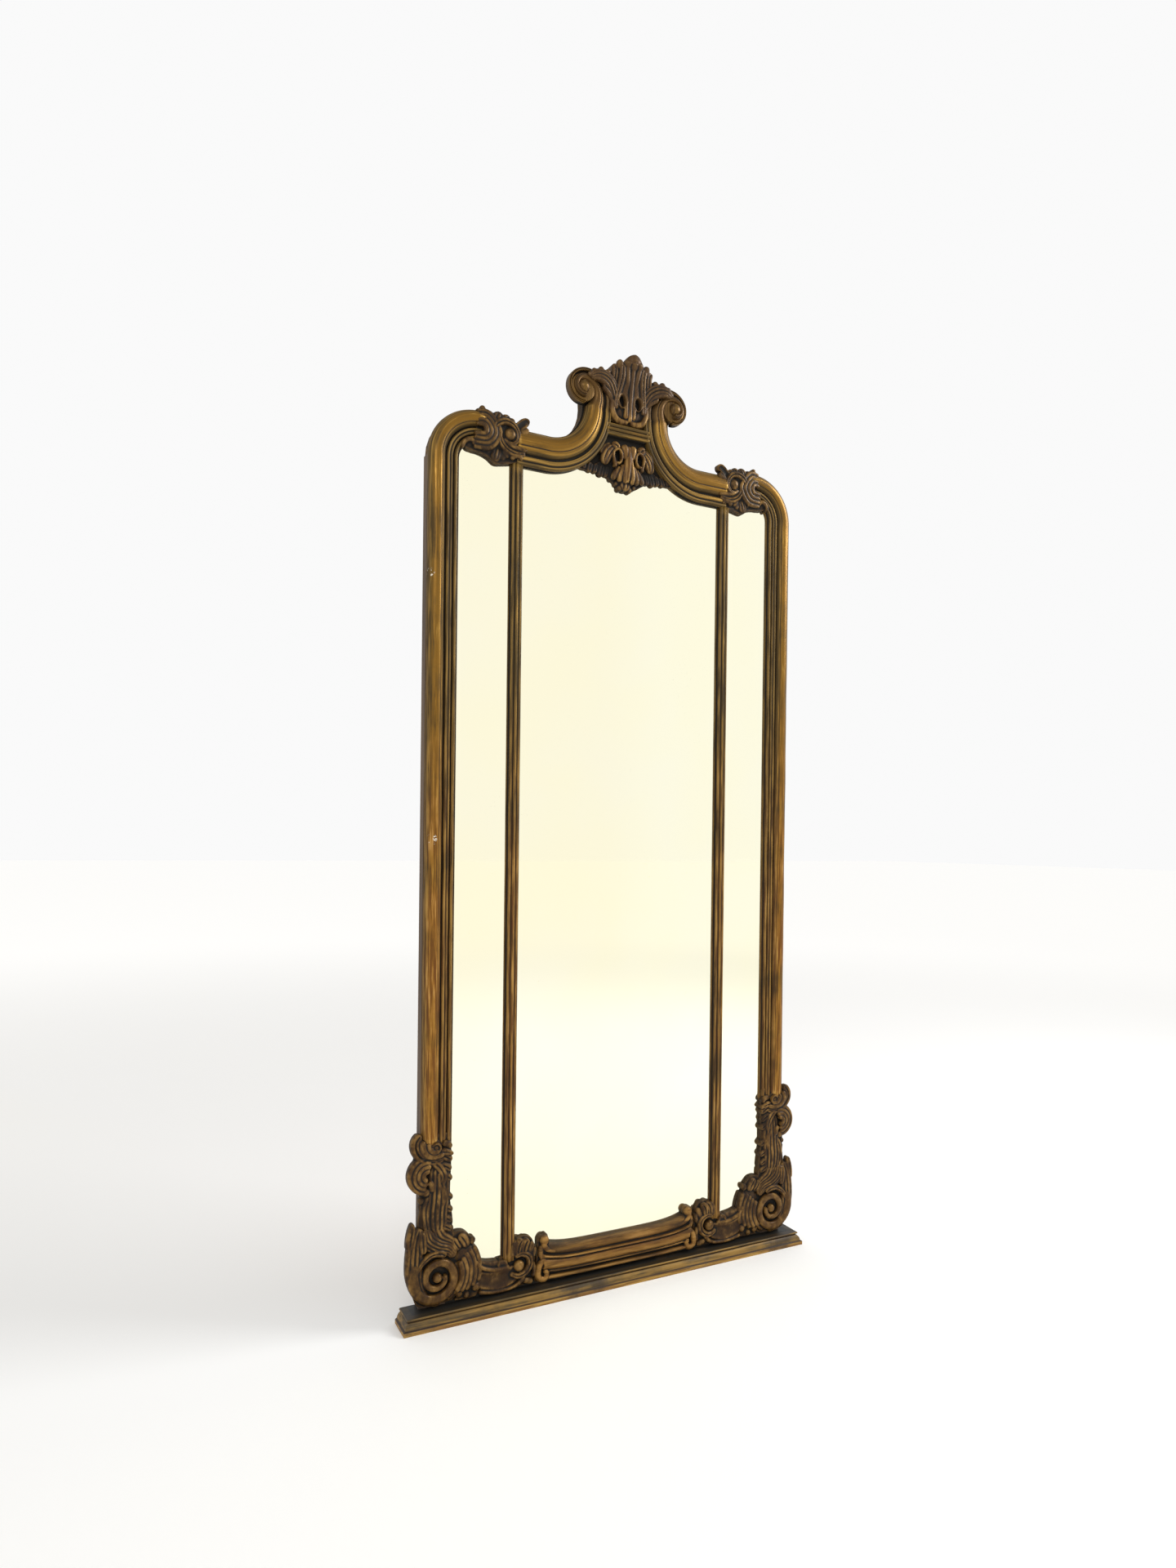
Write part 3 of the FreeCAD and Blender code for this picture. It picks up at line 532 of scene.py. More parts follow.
def gilding(name, source, streak, gold, ground, dark, shine, warmth, worn_and_highlight=BRIGHT):
    """Old gilding: leaf thinned by wear, brown wax over it, soot and painted shade in the hollows,
    painted light and shade across each section, and a few gesso chips.

    source and streak say how the brush marks run; dark is how near black the hollows and low
    walls are painted, as soot and painted shade; shine is how metallic the leaf is; warmth is how
    much redder it gets towards the foot; the last colour is for crests, with wear and a painted
    highlight, and for bright streaks in the leaf.
    """
    paint = Paint(name)
    place = paint.coordinates()
    height = paint.part(place, "Z")
    marks = paint.streaks(streak, source)
    cloud = paint.noise(place, 7.0, 4.0, 0.6)
    fleck = paint.noise(place, 160.0, 3.0, 0.65)
    grime_and_shade = paint.mark("grime_and_shade")
    rubbed_and_highlit = paint.mark("rubbed_and_highlit")
    proud = paint.mark("proud")

    # Proud crowns get more gold: painted light, the crowns lit brighter than the flanks.
    leaf = (marks * 0.6 + cloud * 0.3 + fleck * 0.1 + proud.step(0.5, 1.0) * 0.3).step(0.52, 0.86)
    colour = paint.mix(leaf, ground, gold)
    low_down = height.step(1.45, 0.8)
    warm = paint.mix(marks.step(0.40, 0.60), tone(0.14, 0.045, 0.011), tone(0.40, 0.185, 0.034))
    colour = paint.mix(low_down * cloud.step(0.2, 0.6) * warmth, colour, warm)
    tan = low_down * marks.step(0.50, 0.64) * cloud.step(0.46, 0.60) * warmth
    colour = paint.mix(tan * (1 - grime_and_shade.step(0.0, 0.3)), colour, tone(0.60, 0.34, 0.125))
    # Crests lightened: real wear, and a painted highlight where light would catch them.
    colour = paint.mix(rubbed_and_highlit.step(0.1, 0.9) * marks.step(0.35, 0.65) * 0.6, colour, worn_and_highlight)
    colour = paint.mix(marks.step(0.60, 0.72) * leaf * 0.75, colour, worn_and_highlight)
    colour = paint.mix(cloud.step(0.52, 0.36) * marks.step(0.58, 0.40) * 0.42, colour, UMBER)
    # Parts low over the seat go umber: painted shade on each section's flanks.
    colour = paint.mix(proud.step(0.92, 0.3) * 0.62, colour, UMBER)
    colour = paint.mix(height.step(1.97, 2.0) * 0.72, colour, tone(0.055, 0.030, 0.015))
    # Hollows and low walls go near black: dirt and painted shade.
    colour = paint.mix((grime_and_shade * (0.75 + 0.6 * marks)).step(0.08, 0.6) * dark, colour, BLACK_SOOT_AND_SHADE)
    chip = paint.noise(place, 150.0, 3.0, 0.6).step(0.59, 0.61) * sum(
        paint.near(place, spot, reach) for spot, reach in CHIPS)
    colour = paint.mix(chip, colour, GESSO)
    metal = leaf * (1 - grime_and_shade.step(0.05, 0.5)) * (1 - chip) * shine
    rough = 0.52 - 0.2 * leaf + 0.25 * grime_and_shade
    grain = marks * 0.5 + fleck * 0.35 - chip * 0.6
    paint.surface(Base_Color=colour, Metallic=metal, Roughness=rough, Specular_IOR_Level=0.18,
                  Normal=paint.bump(grain, 0.35, 0.0009))
    return paint.material


def banded():
    """The plinth's gilding, told apart by height: a black top, a red-black line under the edge, a
    streaked brown band, a dark groove and a worn orange foot."""
    paint = Paint("plinth_gilt")
    place = paint.coordinates()
    height = paint.part(place, "Z")
    streak = paint.streaks((8.0, 60.0, 170.0))
    cloud = paint.noise(place, 11.0, 4.0, 0.6)
    body = paint.mix((streak * 0.7 + cloud * 0.5).step(0.48, 0.72), tone(0.070, 0.046, 0.016),
                     tone(0.27, 0.155, 0.035))
    foot = paint.mix(streak.step(0.42, 0.62), tone(0.20, 0.095, 0.020), tone(0.42, 0.25, 0.055))
    colour = paint.mix(height.step(0.0085, 0.0075), body, foot)
    groove = height.step(0.0075, 0.009) * height.step(0.0115, 0.010)
    line = height.step(0.0215, 0.023) * height.step(0.0265, 0.025)
    colour = paint.mix(groove * 0.85 + line * 0.8, colour, tone(0.022, 0.009, 0.005))
    colour = paint.mix(height.step(0.0292, 0.0298) * 0.9, colour, tone(0.020, 0.017, 0.012))
    colour = paint.mix(cloud.step(0.48, 0.34) * 0.6, colour, UMBER)
    paint.surface(Base_Color=colour, Metallic=cloud.step(0.4, 0.6) * 0.3,
                  Roughness=0.6 - 0.2 * streak, Specular_IOR_Level=0.35,
                  Normal=paint.bump(streak + cloud, 0.4, 0.001))
    return paint.material


def crest_paint():
    """Black paint on the crest board's face, dark gilding on its edges, stained wood behind."""
    paint = Paint("crest_paint")
    place = paint.coordinates()
    depth = paint.part(place, "Y")
    wear = paint.noise(place, 30.0, 5.0, 0.6)
    rim = paint.mix(wear.step(0.4, 0.65), tone(0.035, 0.02, 0.008), tone(0.17, 0.09, 0.02))
    face = paint.mix(wear, BLACK_SOOT_AND_SHADE, tone(0.012, 0.009, 0.006))
    colour = paint.mix(depth.step(0.0102, 0.0108), face, rim)
    wood = paint.mix(paint.streaks((2.2, 60.0, 60.0)).step(0.35, 0.7), *STAIN)
    colour = paint.mix(depth.step(0.0334, 0.0338), colour, wood)
    paint.surface(Base_Color=colour, Roughness=0.7, Specular_IOR_Level=0.15,
                  Normal=paint.bump(wear, 0.3, 0.0008))
    return paint.material


def painted():
    """Old black-brown paint, thin and brown where it is worn."""
    paint = Paint("black_paint")
    place = paint.coordinates()
    wear = paint.noise(place, 14.0, 6.0, 0.65)
    dust = paint.noise(place, 84.0, 3.0, 0.5)
    colour = paint.mix(wear.step(0.52, 0.72), tone(0.016, 0.015, 0.013), tone(0.06, 0.04, 0.022))
    paint.surface(Base_Color=colour, Roughness=0.42 + 0.2 * dust, Specular_IOR_Level=0.3,
                  Normal=paint.bump(dust, 0.2, 0.0006))
    return paint.material


def timber(name, light, dark):
    """Bare or stained softwood: long rings and pores drawn out along Z."""
    paint = Paint(name)
    rings = paint.streaks((60.0, 60.0, 2.2))
    pores = paint.noise(paint.coordinates((360.0, 360.0, 13.2)), 1.0, 3.0, 0.5)
    stain = paint.noise(paint.coordinates(), 4.0, 4.0, 0.6)
    colour = paint.mix((rings * 0.8 + stain * 0.3).step(0.4, 0.75), light, dark)
    paint.surface(Base_Color=colour, Roughness=0.68 + 0.15 * pores,
                  Normal=paint.bump(rings + pores * 0.4, 0.35, 0.0007))
    return paint.material


def silvering():
    """Old mirror glass: cream-toned silver with faint clouds and a few foxed specks."""
    paint = Paint("silvered_plate")
    place = paint.coordinates()
    haze = paint.noise(place, 3.0, 3.0, 0.5)
    speck = paint.noise(place, 420.0, 2.0, 0.5)
    patch = paint.noise(place, 9.0, 3.0, 0.6)
    fox = speck.step(0.70, 0.76) * patch.step(0.56, 0.66)
    clean = paint.mix(haze.step(0.35, 0.7), tone(1.0, 0.98, 0.79), tone(0.99, 0.975, 0.82))
    paint.surface(Base_Color=paint.mix(fox * 0.7, clean, tone(0.30, 0.25, 0.16)),
                  Metallic=1.0 - 0.5 * fox, Roughness=0.03 + 0.4 * fox, Specular_IOR_Level=0.5)
    return paint.material


def steel():
    """Dull screw steel with turned marks."""
    paint = Paint("screw_steel")
    marks = paint.noise(paint.coordinates((300.0, 300.0, 900.0)), 1.0, 3.0, 0.5)
    paint.surface(Base_Color=paint.mix(marks, tone(0.2, 0.19, 0.18), tone(0.42, 0.4, 0.38)),
                  Metallic=1.0, Roughness=0.35 + 0.2 * marks)
    return paint.material


# The last colour of each gilding, or the bright gold, paints crests as wear and painted highlight.
moulding_gilt = gilding("moulding_gilt", "run", (210.0, 9.0, 1.0), GOLD, OLIVE, 0.9, 0.7, 0.7)
carving_gilt = gilding("carving_gilt", "object", (70.0, 70.0, 50.0), tone(0.066, 0.034, 0.010),
                       tone(0.020, 0.010, 0.004), 0.98, 0.3, 0.1, tone(0.27, 0.150, 0.042))
crest_gilt = gilding("crest_gilt", "object", (110.0, 60.0, 22.0), tone(0.12, 0.058, 0.015),
                     tone(0.036, 0.016, 0.006), 0.98, 0.3, 0.0, tone(0.40, 0.235, 0.068))
panel_gilt = gilding("panel_gilt", "object", (9.0, 40.0, 90.0), tone(0.14, 0.068, 0.016),
                     tone(0.040, 0.025, 0.009), 0.95, 0.4, 0.3, tone(0.36, 0.20, 0.055))
plinth_gilt = banded()
crest_finish = crest_paint()
black_paint = painted()
stained_wood = timber("stained_wood", *STAIN)
bare_pine = timber("bare_pine", *PINE)
silvered_plate = silvering()
screw_metal = steel()


# ---- adding pieces

def add(name, mesh, material, slot, *nodes, shade=5):
    """A finished piece: it rides with the frame and stands for the nodes named."""
    weathered_and_shaded(mesh, shade)
    mesh.materials.clear()
    mesh.materials.append(material)
    piece = bpy.data.objects.new(name, mesh)
    bpy.context.scene.collection.objects.link(piece)
    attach(piece, "root")
    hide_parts(*nodes)


def add_pair(name, mesh, material, slot, *node_names, shade=5):
    """A right-hand piece and its mirror image; node names are given without their side."""
    other = mesh.copy()
    other.transform(Matrix.Scale(-1, 4, Vector((1, 0, 0))))
    other.flip_normals()
    for side, skin in (("_right", mesh), ("_left", other)):
        add(name + side, skin, material, slot, *[node + side for node in node_names], shade=shade)


# ---- mouldings

def side_moulding():
    """The side moulding and its quarter-round shoulder, in one run from the cap leaf to the clasp.

    The outer edge wanders by under 1 mm up the straight side, as hand work does.
    """
    stations = 150
    s = np.linspace(0, 1, 90)
    section = humps(s, ((0.0, 0.565, 0.0, 1.0), (0.58, 0.69, 0.40, 0.22), (0.68, 0.78, 0.38, 0.18),
                        (0.805, 0.94, 0.18, 0.42)), 0.22)
    section -= 0.05 * np.exp(-((s - 0.42) / 0.02) ** 2)
    up = np.linspace(SIDE_FOOT, SPRING, stations)
    turn = np.radians(np.linspace(0, 90, 60))[1:]
    outer, inner = (np.concatenate([
        np.column_stack([np.full(stations, HALF - inset), up]),
        np.column_stack([SHOULDER_X + (SHOULDER_RADIUS - inset) * np.cos(turn),
                         SPRING + (SHOULDER_RADIUS - inset) * np.sin(turn)]),
        [[SHOULDER_X - 12, SHOULDER_TOP - inset]]]) for inset in (0, MOULDING))
    wander = 0.35 * np.sin(up / 57) + 0.25 * np.sin(up / 23 + 1) - 0.6
    outer[:stations, 0] += wander * np.sin(np.linspace(0, np.pi, stations))
    add_pair("gilt_side", swept("gilt_side", s, section, outer, inner, RELIEF), moulding_gilt,
             "gilt_moulding", "side_moulding", "shoulder_moulding", shade=8)


def c_scroll():
    """The C-scroll: a straight run, a quarter circle that narrows, and a volute with its ball.

    Past the quarter circle both edges wind about the volute's centre to the same direction. Their
    radii ease from where the quarter ends to 33 mm for the bulge and 8 mm for the hollow, and the
    strap rises 10 mm forward. A disc with a ball on it closes the volute's face.
    """
    s = np.linspace(0, 1, 80)
    section = humps(s, ((0.0, 0.70, 0.0, 1.0), (0.735, 0.88, 0.52, 0.2),
                        (0.87, 0.995, 0.40, 0.24)), 0.38)
    section -= 0.07 * np.exp(-((s - 0.47) / 0.025) ** 2)
    x = np.linspace(MULLION + 2, SCROLL_X, 20)[:-1]
    angle = np.radians(np.linspace(270, 180, 70))
    wide = np.linspace(SCROLL_WIDE, SCROLL_NECK, 70)
    t = np.linspace(0, 1, 110)[1:]
    ease = 1 - (1 - t) ** 2.6
    last_turn = -98.0
    edges = []
    for side, radius, power in ((-1, 8.0, 1.15), (1, 33.0, 1.0)):
        straight = np.column_stack([x, np.full(len(x), RUN_Z - side * SCROLL_WIDE / 2)])
        quarter = (np.column_stack([np.cos(angle), np.sin(angle)])
                   * (SCROLL_RADIUS + side * wide / 2)[:, None] + [SCROLL_X, SCROLL_Z])
        first = quarter[-1] - VOLUTE
        first_turn = math.degrees(math.atan2(first[1], first[0])) % 360
        turn = np.radians(first_turn + (last_turn - first_turn) * t ** power)
        away = np.linalg.norm(first) + (radius - np.linalg.norm(first)) * ease
        winding = np.column_stack([np.cos(turn), np.sin(turn)]) * away[:, None] + VOLUTE
        edges.append(np.concatenate([straight, quarter, winding]))
    height = RELIEF + 2 + 10 * np.concatenate([np.zeros(len(x) + len(angle)), t])
    face = [bead(VOLUTE[0], VOLUTE[1], 30, 4, 17), bead(VOLUTE[0] + 1, VOLUTE[1], 15, 14, 18)]
    mesh = swept("gilt_c_scroll", s, section, *edges, height, face)
    add_pair("gilt_c_scroll", mesh, moulding_gilt, "gilt_moulding", "c_scroll", shade=8)


def mullion():
    """The reeded cap between two plates: three reeds over straight sides."""
    s = np.linspace(0, 1, 50)
    section = humps(s, ((0.12, 0.38, 0.6, 0.22), (0.36, 0.64, 0.6, 0.4),
                        (0.62, 0.88, 0.6, 0.22)), 0.22)
    z = np.linspace(MULLION_FOOT, MULLION_HEAD, 160)
    sway = 0.15 * np.sin(z / 310 + 0.5) + 0.06 * np.sin(z / 41)
    outer, inner = (np.column_stack([MULLION + side * MULLION_HALF + sway, z]) for side in (1, -1))
    mesh = swept("gilt_mullion", s, section, outer, inner, 14.0)
    add_pair("gilt_mullion", mesh, moulding_gilt, "gilt_moulding", "mullion", shade=9)


def crossbar():
    """The reeded bar between the C-scrolls."""
    s = np.linspace(0, 1, 60)
    section = humps(s, ((0.0, 0.36, 0.6, 0.34), (0.34, 0.68, 0.6, 0.4),
                        (0.66, 1.0, 0.6, 0.34)), 0.5)
    x = np.linspace(-CROSSBAR_HALF, CROSSBAR_HALF, 40)
    top, low = (np.column_stack([x, np.full(40, z)]) for z in (CROSSBAR_TOP, CROSSBAR_LOW))
    mesh = swept("gilt_crossbar", s, section, top, low, 15.0)
    add("gilt_crossbar", mesh, moulding_gilt, "gilt_moulding", "crest_crossbar")


side_moulding()
c_scroll()
mullion()
crossbar()


# ---- carvings

def carved_pair(name, skins, origin, *node_names):
    """A right-hand carving, drawn about origin, and its mirror image."""
    add_pair(name, fused(name, placed(skins, origin)), carving_gilt, "gilt_carving", *node_names)


def corner_clasp():
    """The leaf clasp over the mullion's head: nested ridges round the moulding's end, an eye with
    its curl, lobes above and a drooping leaf below."""
    skins = [
        plate([(-18, -28), (0, -36), (34, -44), (52, -46), (68, -36), (86, -30), (116, -26),
               (118, -14), (102, -2), (90, 40), (80, 58), (60, 58), (30, 56), (12, 44), (-8, 36),
               (-18, 16)], 9),
        stroke([(-8, 16, 24, 5), (30, 17, 36, 9), (68, 16, 42, 10), (88, 16, 40, 8)], 6),
    ]
    for k in range(4):
        r = 11 + 10.5 * k
        skins.append(stroke([(98, 18 + 0.9 * r, 4, 4), (85 - 0.4 * r, 18 + 0.86 * r, 6, 7),
                             (86 - r, 18, 6.6, 8), (85 - 0.5 * r, 18 - 0.8 * r, 6, 7),
                             (102, 17 - 0.88 * r, 4, 4)], 15.5 - 1.2 * k))
    skins += [
        stroke([(83, 38, 8, 6), (82, 56, 7, 7), (83, 70, 6, 6)], 10),
        stroke([(68, 26, 12, 7), (67, 48, 12, 8), (60, 61, 9, 6)], 9, fluted(3)),
        stroke([(54, 24, 12, 8), (48, 48, 14, 9), (42, 64, 10, 7)], 10, fluted(3)),
        stroke([(38, 30, 11, 8), (30, 49, 12, 8), (22, 61, 9, 6)], 9, fluted(2)),
        stroke([(26, 36, 9, 7), (16, 48, 9, 7), (8, 53, 7, 6)], 9),
        stroke([(58, 16, 5, 4), (52, 34, 8, 8), (34, 44, 8.5, 9), (15, 40, 7.5, 9),
                (4, 26, 6.5, 8), (4, 10, 6, 8), (14, 0, 5, 7), (28, 0, 4, 6)], 14, veined),
        bead(21, 19, 13, 10, 15),
        stroke([(46, 20, 7, 7), (41, 0, 8, 8), (28, -14, 8, 8), (8, -20, 8, 7),
                (-16, -16, 6, 5)], 12, veined),
        stroke([(36, 8, 5, 4), (18, -4, 5, 6), (-2, -7, 5, 6), (-20, -9, 4, 4)], 14),
        stroke([(8, 30, 8, 6), (-4, 44, 10, 8), (-16, 52, 10.5, 8), (-24, 49, 8, 6)], 12, hollow),
        stroke([(2, 26, 7, 6), (-12, 31, 8, 6), (-23, 39, 6, 5)], 13),
        stroke([(46, -12, 10, 6), (51, -30, 12, 8), (54, -43, 10, 7)], 8, fluted(3)),
        stroke([(38, -16, 8, 6), (35, -30, 8, 6), (32, -37, 6, 5)], 7),
        stroke([(64, -14, 9, 6), (70, -28, 8, 5)], 7),
        stroke([(80, -4, 10, 6), (84, -22, 9, 5)], 6),
        stroke([(94, -6, 10, 6), (101, -22, 9, 5)], 6),
        stroke([(106, -10, 9, 5), (115, -21, 8, 5)], 6),
        stroke([(34, -10, 7, 6), (29, -22, 8, 7), (20, -28, 6, 5)], 9),
        stroke([(18, -32, 5, 4), (10, -24, 6, 6), (-2, -23, 6, 6), (-9, -31, 4, 4)], 12),
        stroke([(127, -28, 4, 4), (122, -15, 5, 6), (111, -8, 6, 7), (102, -11, 5, 6),
                (103, -18, 4, 5)], 11),
    ]
    carved_pair("carved_clasp", skins, (MULLION, RUN_Z), "corner_clasp")


def crest_leaf():
    """The crest's upper leaf: a fluted acanthus with two pressed-in eyes, two side leaves that lie
    on the volutes and a tip that rolls forward."""
    side = [
        stroke([(2, -17, 5, 6), (20, -19, 6, 7), (36, -12, 7, 8), (44, 7, 7, 8),
                (42, 27, 6, 8)], 12),
        stroke([(9, -13, 7, 6), (10, 15, 6, 8), (8, 45, 7, 8), (12, 75, 7, 8, 25),
                (16, 103, 7, 6, 33)], 15),
        stroke([(36, 5, 7, 6), (36, 25, 6, 8), (31, 49, 8, 8, 19), (27, 75, 9, 8, 26),
                (28, 101, 8, 6, 32)], 15, veined),
        stroke([(42, 15, 7, 6), (46, 45, 8, 8), (44, 73, 9, 8, 22), (44, 89, 9, 7, 25),
                (50, 99, 7, 6, 27)], 13, veined),
        stroke([(30, 87, 8, 6, 28), (34, 101, 9, 6, 31), (40, 108, 6, 5, 32)], back=9),
        arc((20, 25), 14, 0, 360, 2.6, 4, 19, squash=0.66, steps=17),
        stroke([(34, 23, 10, 6, 12), (48, 51, 15, 9, 20), (68, 64, 16, 9, 26), (90, 65, 13, 8, 28),
                (106, 57, 8, 6, 25)], form=fluted(4), back=12),
        stroke([(40, 25, 9, 6, 12), (56, 41, 9, 7, 18), (72, 49, 8, 6, 22)], form=veined, back=10),
        stroke([(58, 73, 8, 6, 25), (66, 83, 8, 6, 26)], back=9),
        stroke([(76, 73, 8, 6, 26), (84, 84, 8, 6, 27)], back=9),
        stroke([(92, 68, 8, 6, 26), (101, 77, 7, 5, 26)], back=9),
        stroke([(102, 61, 6, 5, 25), (111, 66, 5, 4, 25)], back=9),
    ]
    middle = [
        plate(closed([(0, -23), (38, -21), (48, 0), (46, 27), (52, 49), (48, 79), (40, 101),
                      (0, 105)]), 9),
        stroke([(0, -21, 40, 7, 8), (0, 15, 45, 8, 10), (0, 55, 48, 10, 16), (0, 87, 46, 10, 24),
                (0, 105, 40, 8, 30)], form=fluted(7, 0.3), blade=True, back=8),
        stroke([(0, -19, 6, 7), (0, 15, 6, 9), (0, 55, 6, 9, 20), (0, 107, 6, 6, 34)], 15),
        stroke([(0, 83, 22, 7, 22), (0, 99, 27, 10, 30), (0, 111, 29, 13, 38),
                (0, 113, 26, 13, 45)], form=fluted(3, 0.35), back=12, blade=True),
        stroke([(0, 75, 34, 6, 20), (0, 99, 40, 8, 30),
                (0, 109, 34, 6, 35)], form=fluted(5, 0.4), back=9, blade=True),
    ]
    mesh = fused("carved_crest_leaf", placed(middle + both(side), (0, SCROLL_Z)))
    for x in (-20, 20):
        pressed(mesh, (x, SCROLL_Z + 25), (9, 15.5), 6)
    add("carved_crest_leaf", mesh, crest_gilt, "gilt_carving", "crest_upper_leaf")


def pendant_leaf():
    """The pendant leaf under the crossbar: a fan of flutes, two pressed-in drops, a lace edge."""
    side = [
        stroke([(6, 20, 8, 7), (10, 42, 10, 9), (13, 55, 7, 7)], 13),
        stroke([(26, 38, 8, 6), (34, 48, 10, 8), (44, 50, 7, 6)], 13, veined),
        stroke([(36, 46, 10, 7), (50, 32, 13, 9), (58, 14, 12, 8), (58, 2, 8, 5)], 10, fluted(3)),
        stroke([(42, 52, 6, 5), (58, 40, 8, 6), (66, 24, 7, 5)], 7),
        arc((28, 25), 16, 60, 300, 2.8, 5, 16, squash=0.6),
        stroke([(30, 42, 3, 5), (39, 33, 3.2, 5), (39, 20, 3.2, 5), (35, 6, 4, 5),
                (36, -1, 5, 5)], 15),
        stroke([(3, 30, 6, 7), (7, 2, 7, 9), (10, -18, 7, 8), (8, -34, 5, 6)], 14),
        stroke([(12, 10, 6, 6), (17, -6, 7, 8), (22, -20, 7, 7), (22, -32, 5, 5)], 12),
        stroke([(20, 4, 6, 6), (30, -10, 7, 7), (36, -20, 7, 6), (40, -28, 5, 5)], 10),
    ]
    for x, z, half in ((42, -27, 8), (55, -23, 6), (69, -25, 8.5), (83, -20, 6),
                       (97, -20, 7.5), (110, -15, 5), (121, -14, 6)):
        side.append(stroke([(x - 8, 2, half - 1, 3), (x - 3, z + 14, half, 4), (x, z, half, 5)],
                           4, veined))
    middle = [
        plate(closed([(0, 58), (40, 56), (58, 40), (66, 12), (96, -4), (126, -8), (122, -16),
                      (60, -20), (26, -38), (0, -46)]), 5),
        stroke([(0, 50, 22, 5), (0, 26, 12, 8), (0, 2, 18, 9), (0, -22, 26, 8)], 7),
        stroke([(0, 52, 6, 6), (0, 20, 6, 9), (-2, -10, 6, 9), (-4, -32, 5, 6)], 14),
        stroke([(-4, -22, 16, 7), (-7, -40, 14, 8), (-9, -49, 9, 6)], 8, fluted(3)),
        *(bead(x, z, rise + 1, rise, rise)
          for x, z, rise in ((-19, -43, 6), (6, -44, 6), (-27, -34, 5), (18, -36, 5))),
    ]
    mesh = fused("carved_pendant", placed(middle + both(side), (0, RUN_Z)))
    for x in (-28, 28):
        pressed(mesh, (x, RUN_Z + 24), (8, 13), 3)
    add("carved_pendant", mesh, crest_gilt, "gilt_carving", "crest_pendant_leaf", shade=11)


def side_drop():
    """The cap leaf, the shell scroll and the leafy stems below each side moulding."""
    eye = (38, 368)
    skins = [
        plate([(4, 394), (2, 360), (2, 330), (4, 260), (2, 190), (70, 188), (69, 260), (84, 290),
               (94, 316), (84, 342), (78, 370), (68, 394)], 9),
        stroke([(52, 392, 24, 8), (50, 366, 30, 12), (40, 346, 24, 8)], 7),
        stroke([(70, 398, 9, 6), (81, 382, 10, 8), (78, 362, 11, 9), (62, 345, 10, 8),
                (40, 338, 8, 7), (20, 342, 6, 5)], 11, veined),
        stroke([(66, 386, 7, 6), (66, 370, 8, 8), (56, 355, 8, 8), (38, 350, 7, 7),
                (20, 353, 5, 5)], 15),
        stroke([(54, 380, 5, 5), (53, 368, 6, 6), (44, 360, 6, 6), (30, 361, 5, 5)], 17),
        bead(eye[0], eye[1], 6, 5, 16),
        arc(eye, 9, 20, 380, 2.8, 5, 17, steps=15),
        stroke([(30, 358, 7, 6), (16, 356, 8, 7), (5, 352, 5, 5), (-1, 348, 3, 3)], 12, veined),
        stroke([(24, 374, 6, 5), (11, 372, 7, 6), (4, 362, 5, 5)], 11),
    ]
    shell = (56, 312)
    for k in range(4):
        skins.append(arc(shell, 9 + 9.2 * k, 125 - 8 * k, -100 + 6 * k, 5.8, 8, 15.5 - 1.8 * k))
    skins += [
        stroke([(46, 340, 9, 6), (30, 326, 10, 8), (20, 306, 9, 8),
                (26, 284, 8, 6)], 11, fluted(2)),
        stroke([(52, 300, 6, 6), (46, 290, 7, 7), (44, 276, 7, 6)], 13),
        bead(58, 277, 9, 8, 11),
        bead(67, 259, 7, 6, 8),
        stroke([(30, 334, 20, 6), (30, 300, 24, 9), (31, 262, 25, 11), (34, 226, 25, 11),
                (32, 186, 24, 9)], 9, fluted(5, 0.5)),
        stroke([(50, 268, 8, 6), (58, 240, 9, 8), (56, 210, 9, 7),
                (50, 186, 8, 6)], 10, fluted(2)),
        stroke([(26, 296, 7, 6), (20, 268, 8, 7), (24, 240, 7, 6)], 12, veined),
        stroke([(68, 252, 5, 4), (65, 226, 5, 5), (64, 198, 5, 4)], 7),
    ]
    for z, reach in ((338, 10), (318, 8), (298, 10), (258, 12), (232, 12), (210, 10), (192, 10)):
        skins.append(stroke([(30, z + 14, 7, 6), (14, z + 6, 9, 7), (11 - reach, z - 3, 6, 5)],
                            9, veined))
    carved_pair("carved_drop", skins, (HALF - MOULDING, 0), "cap_leaf", "side_drop")


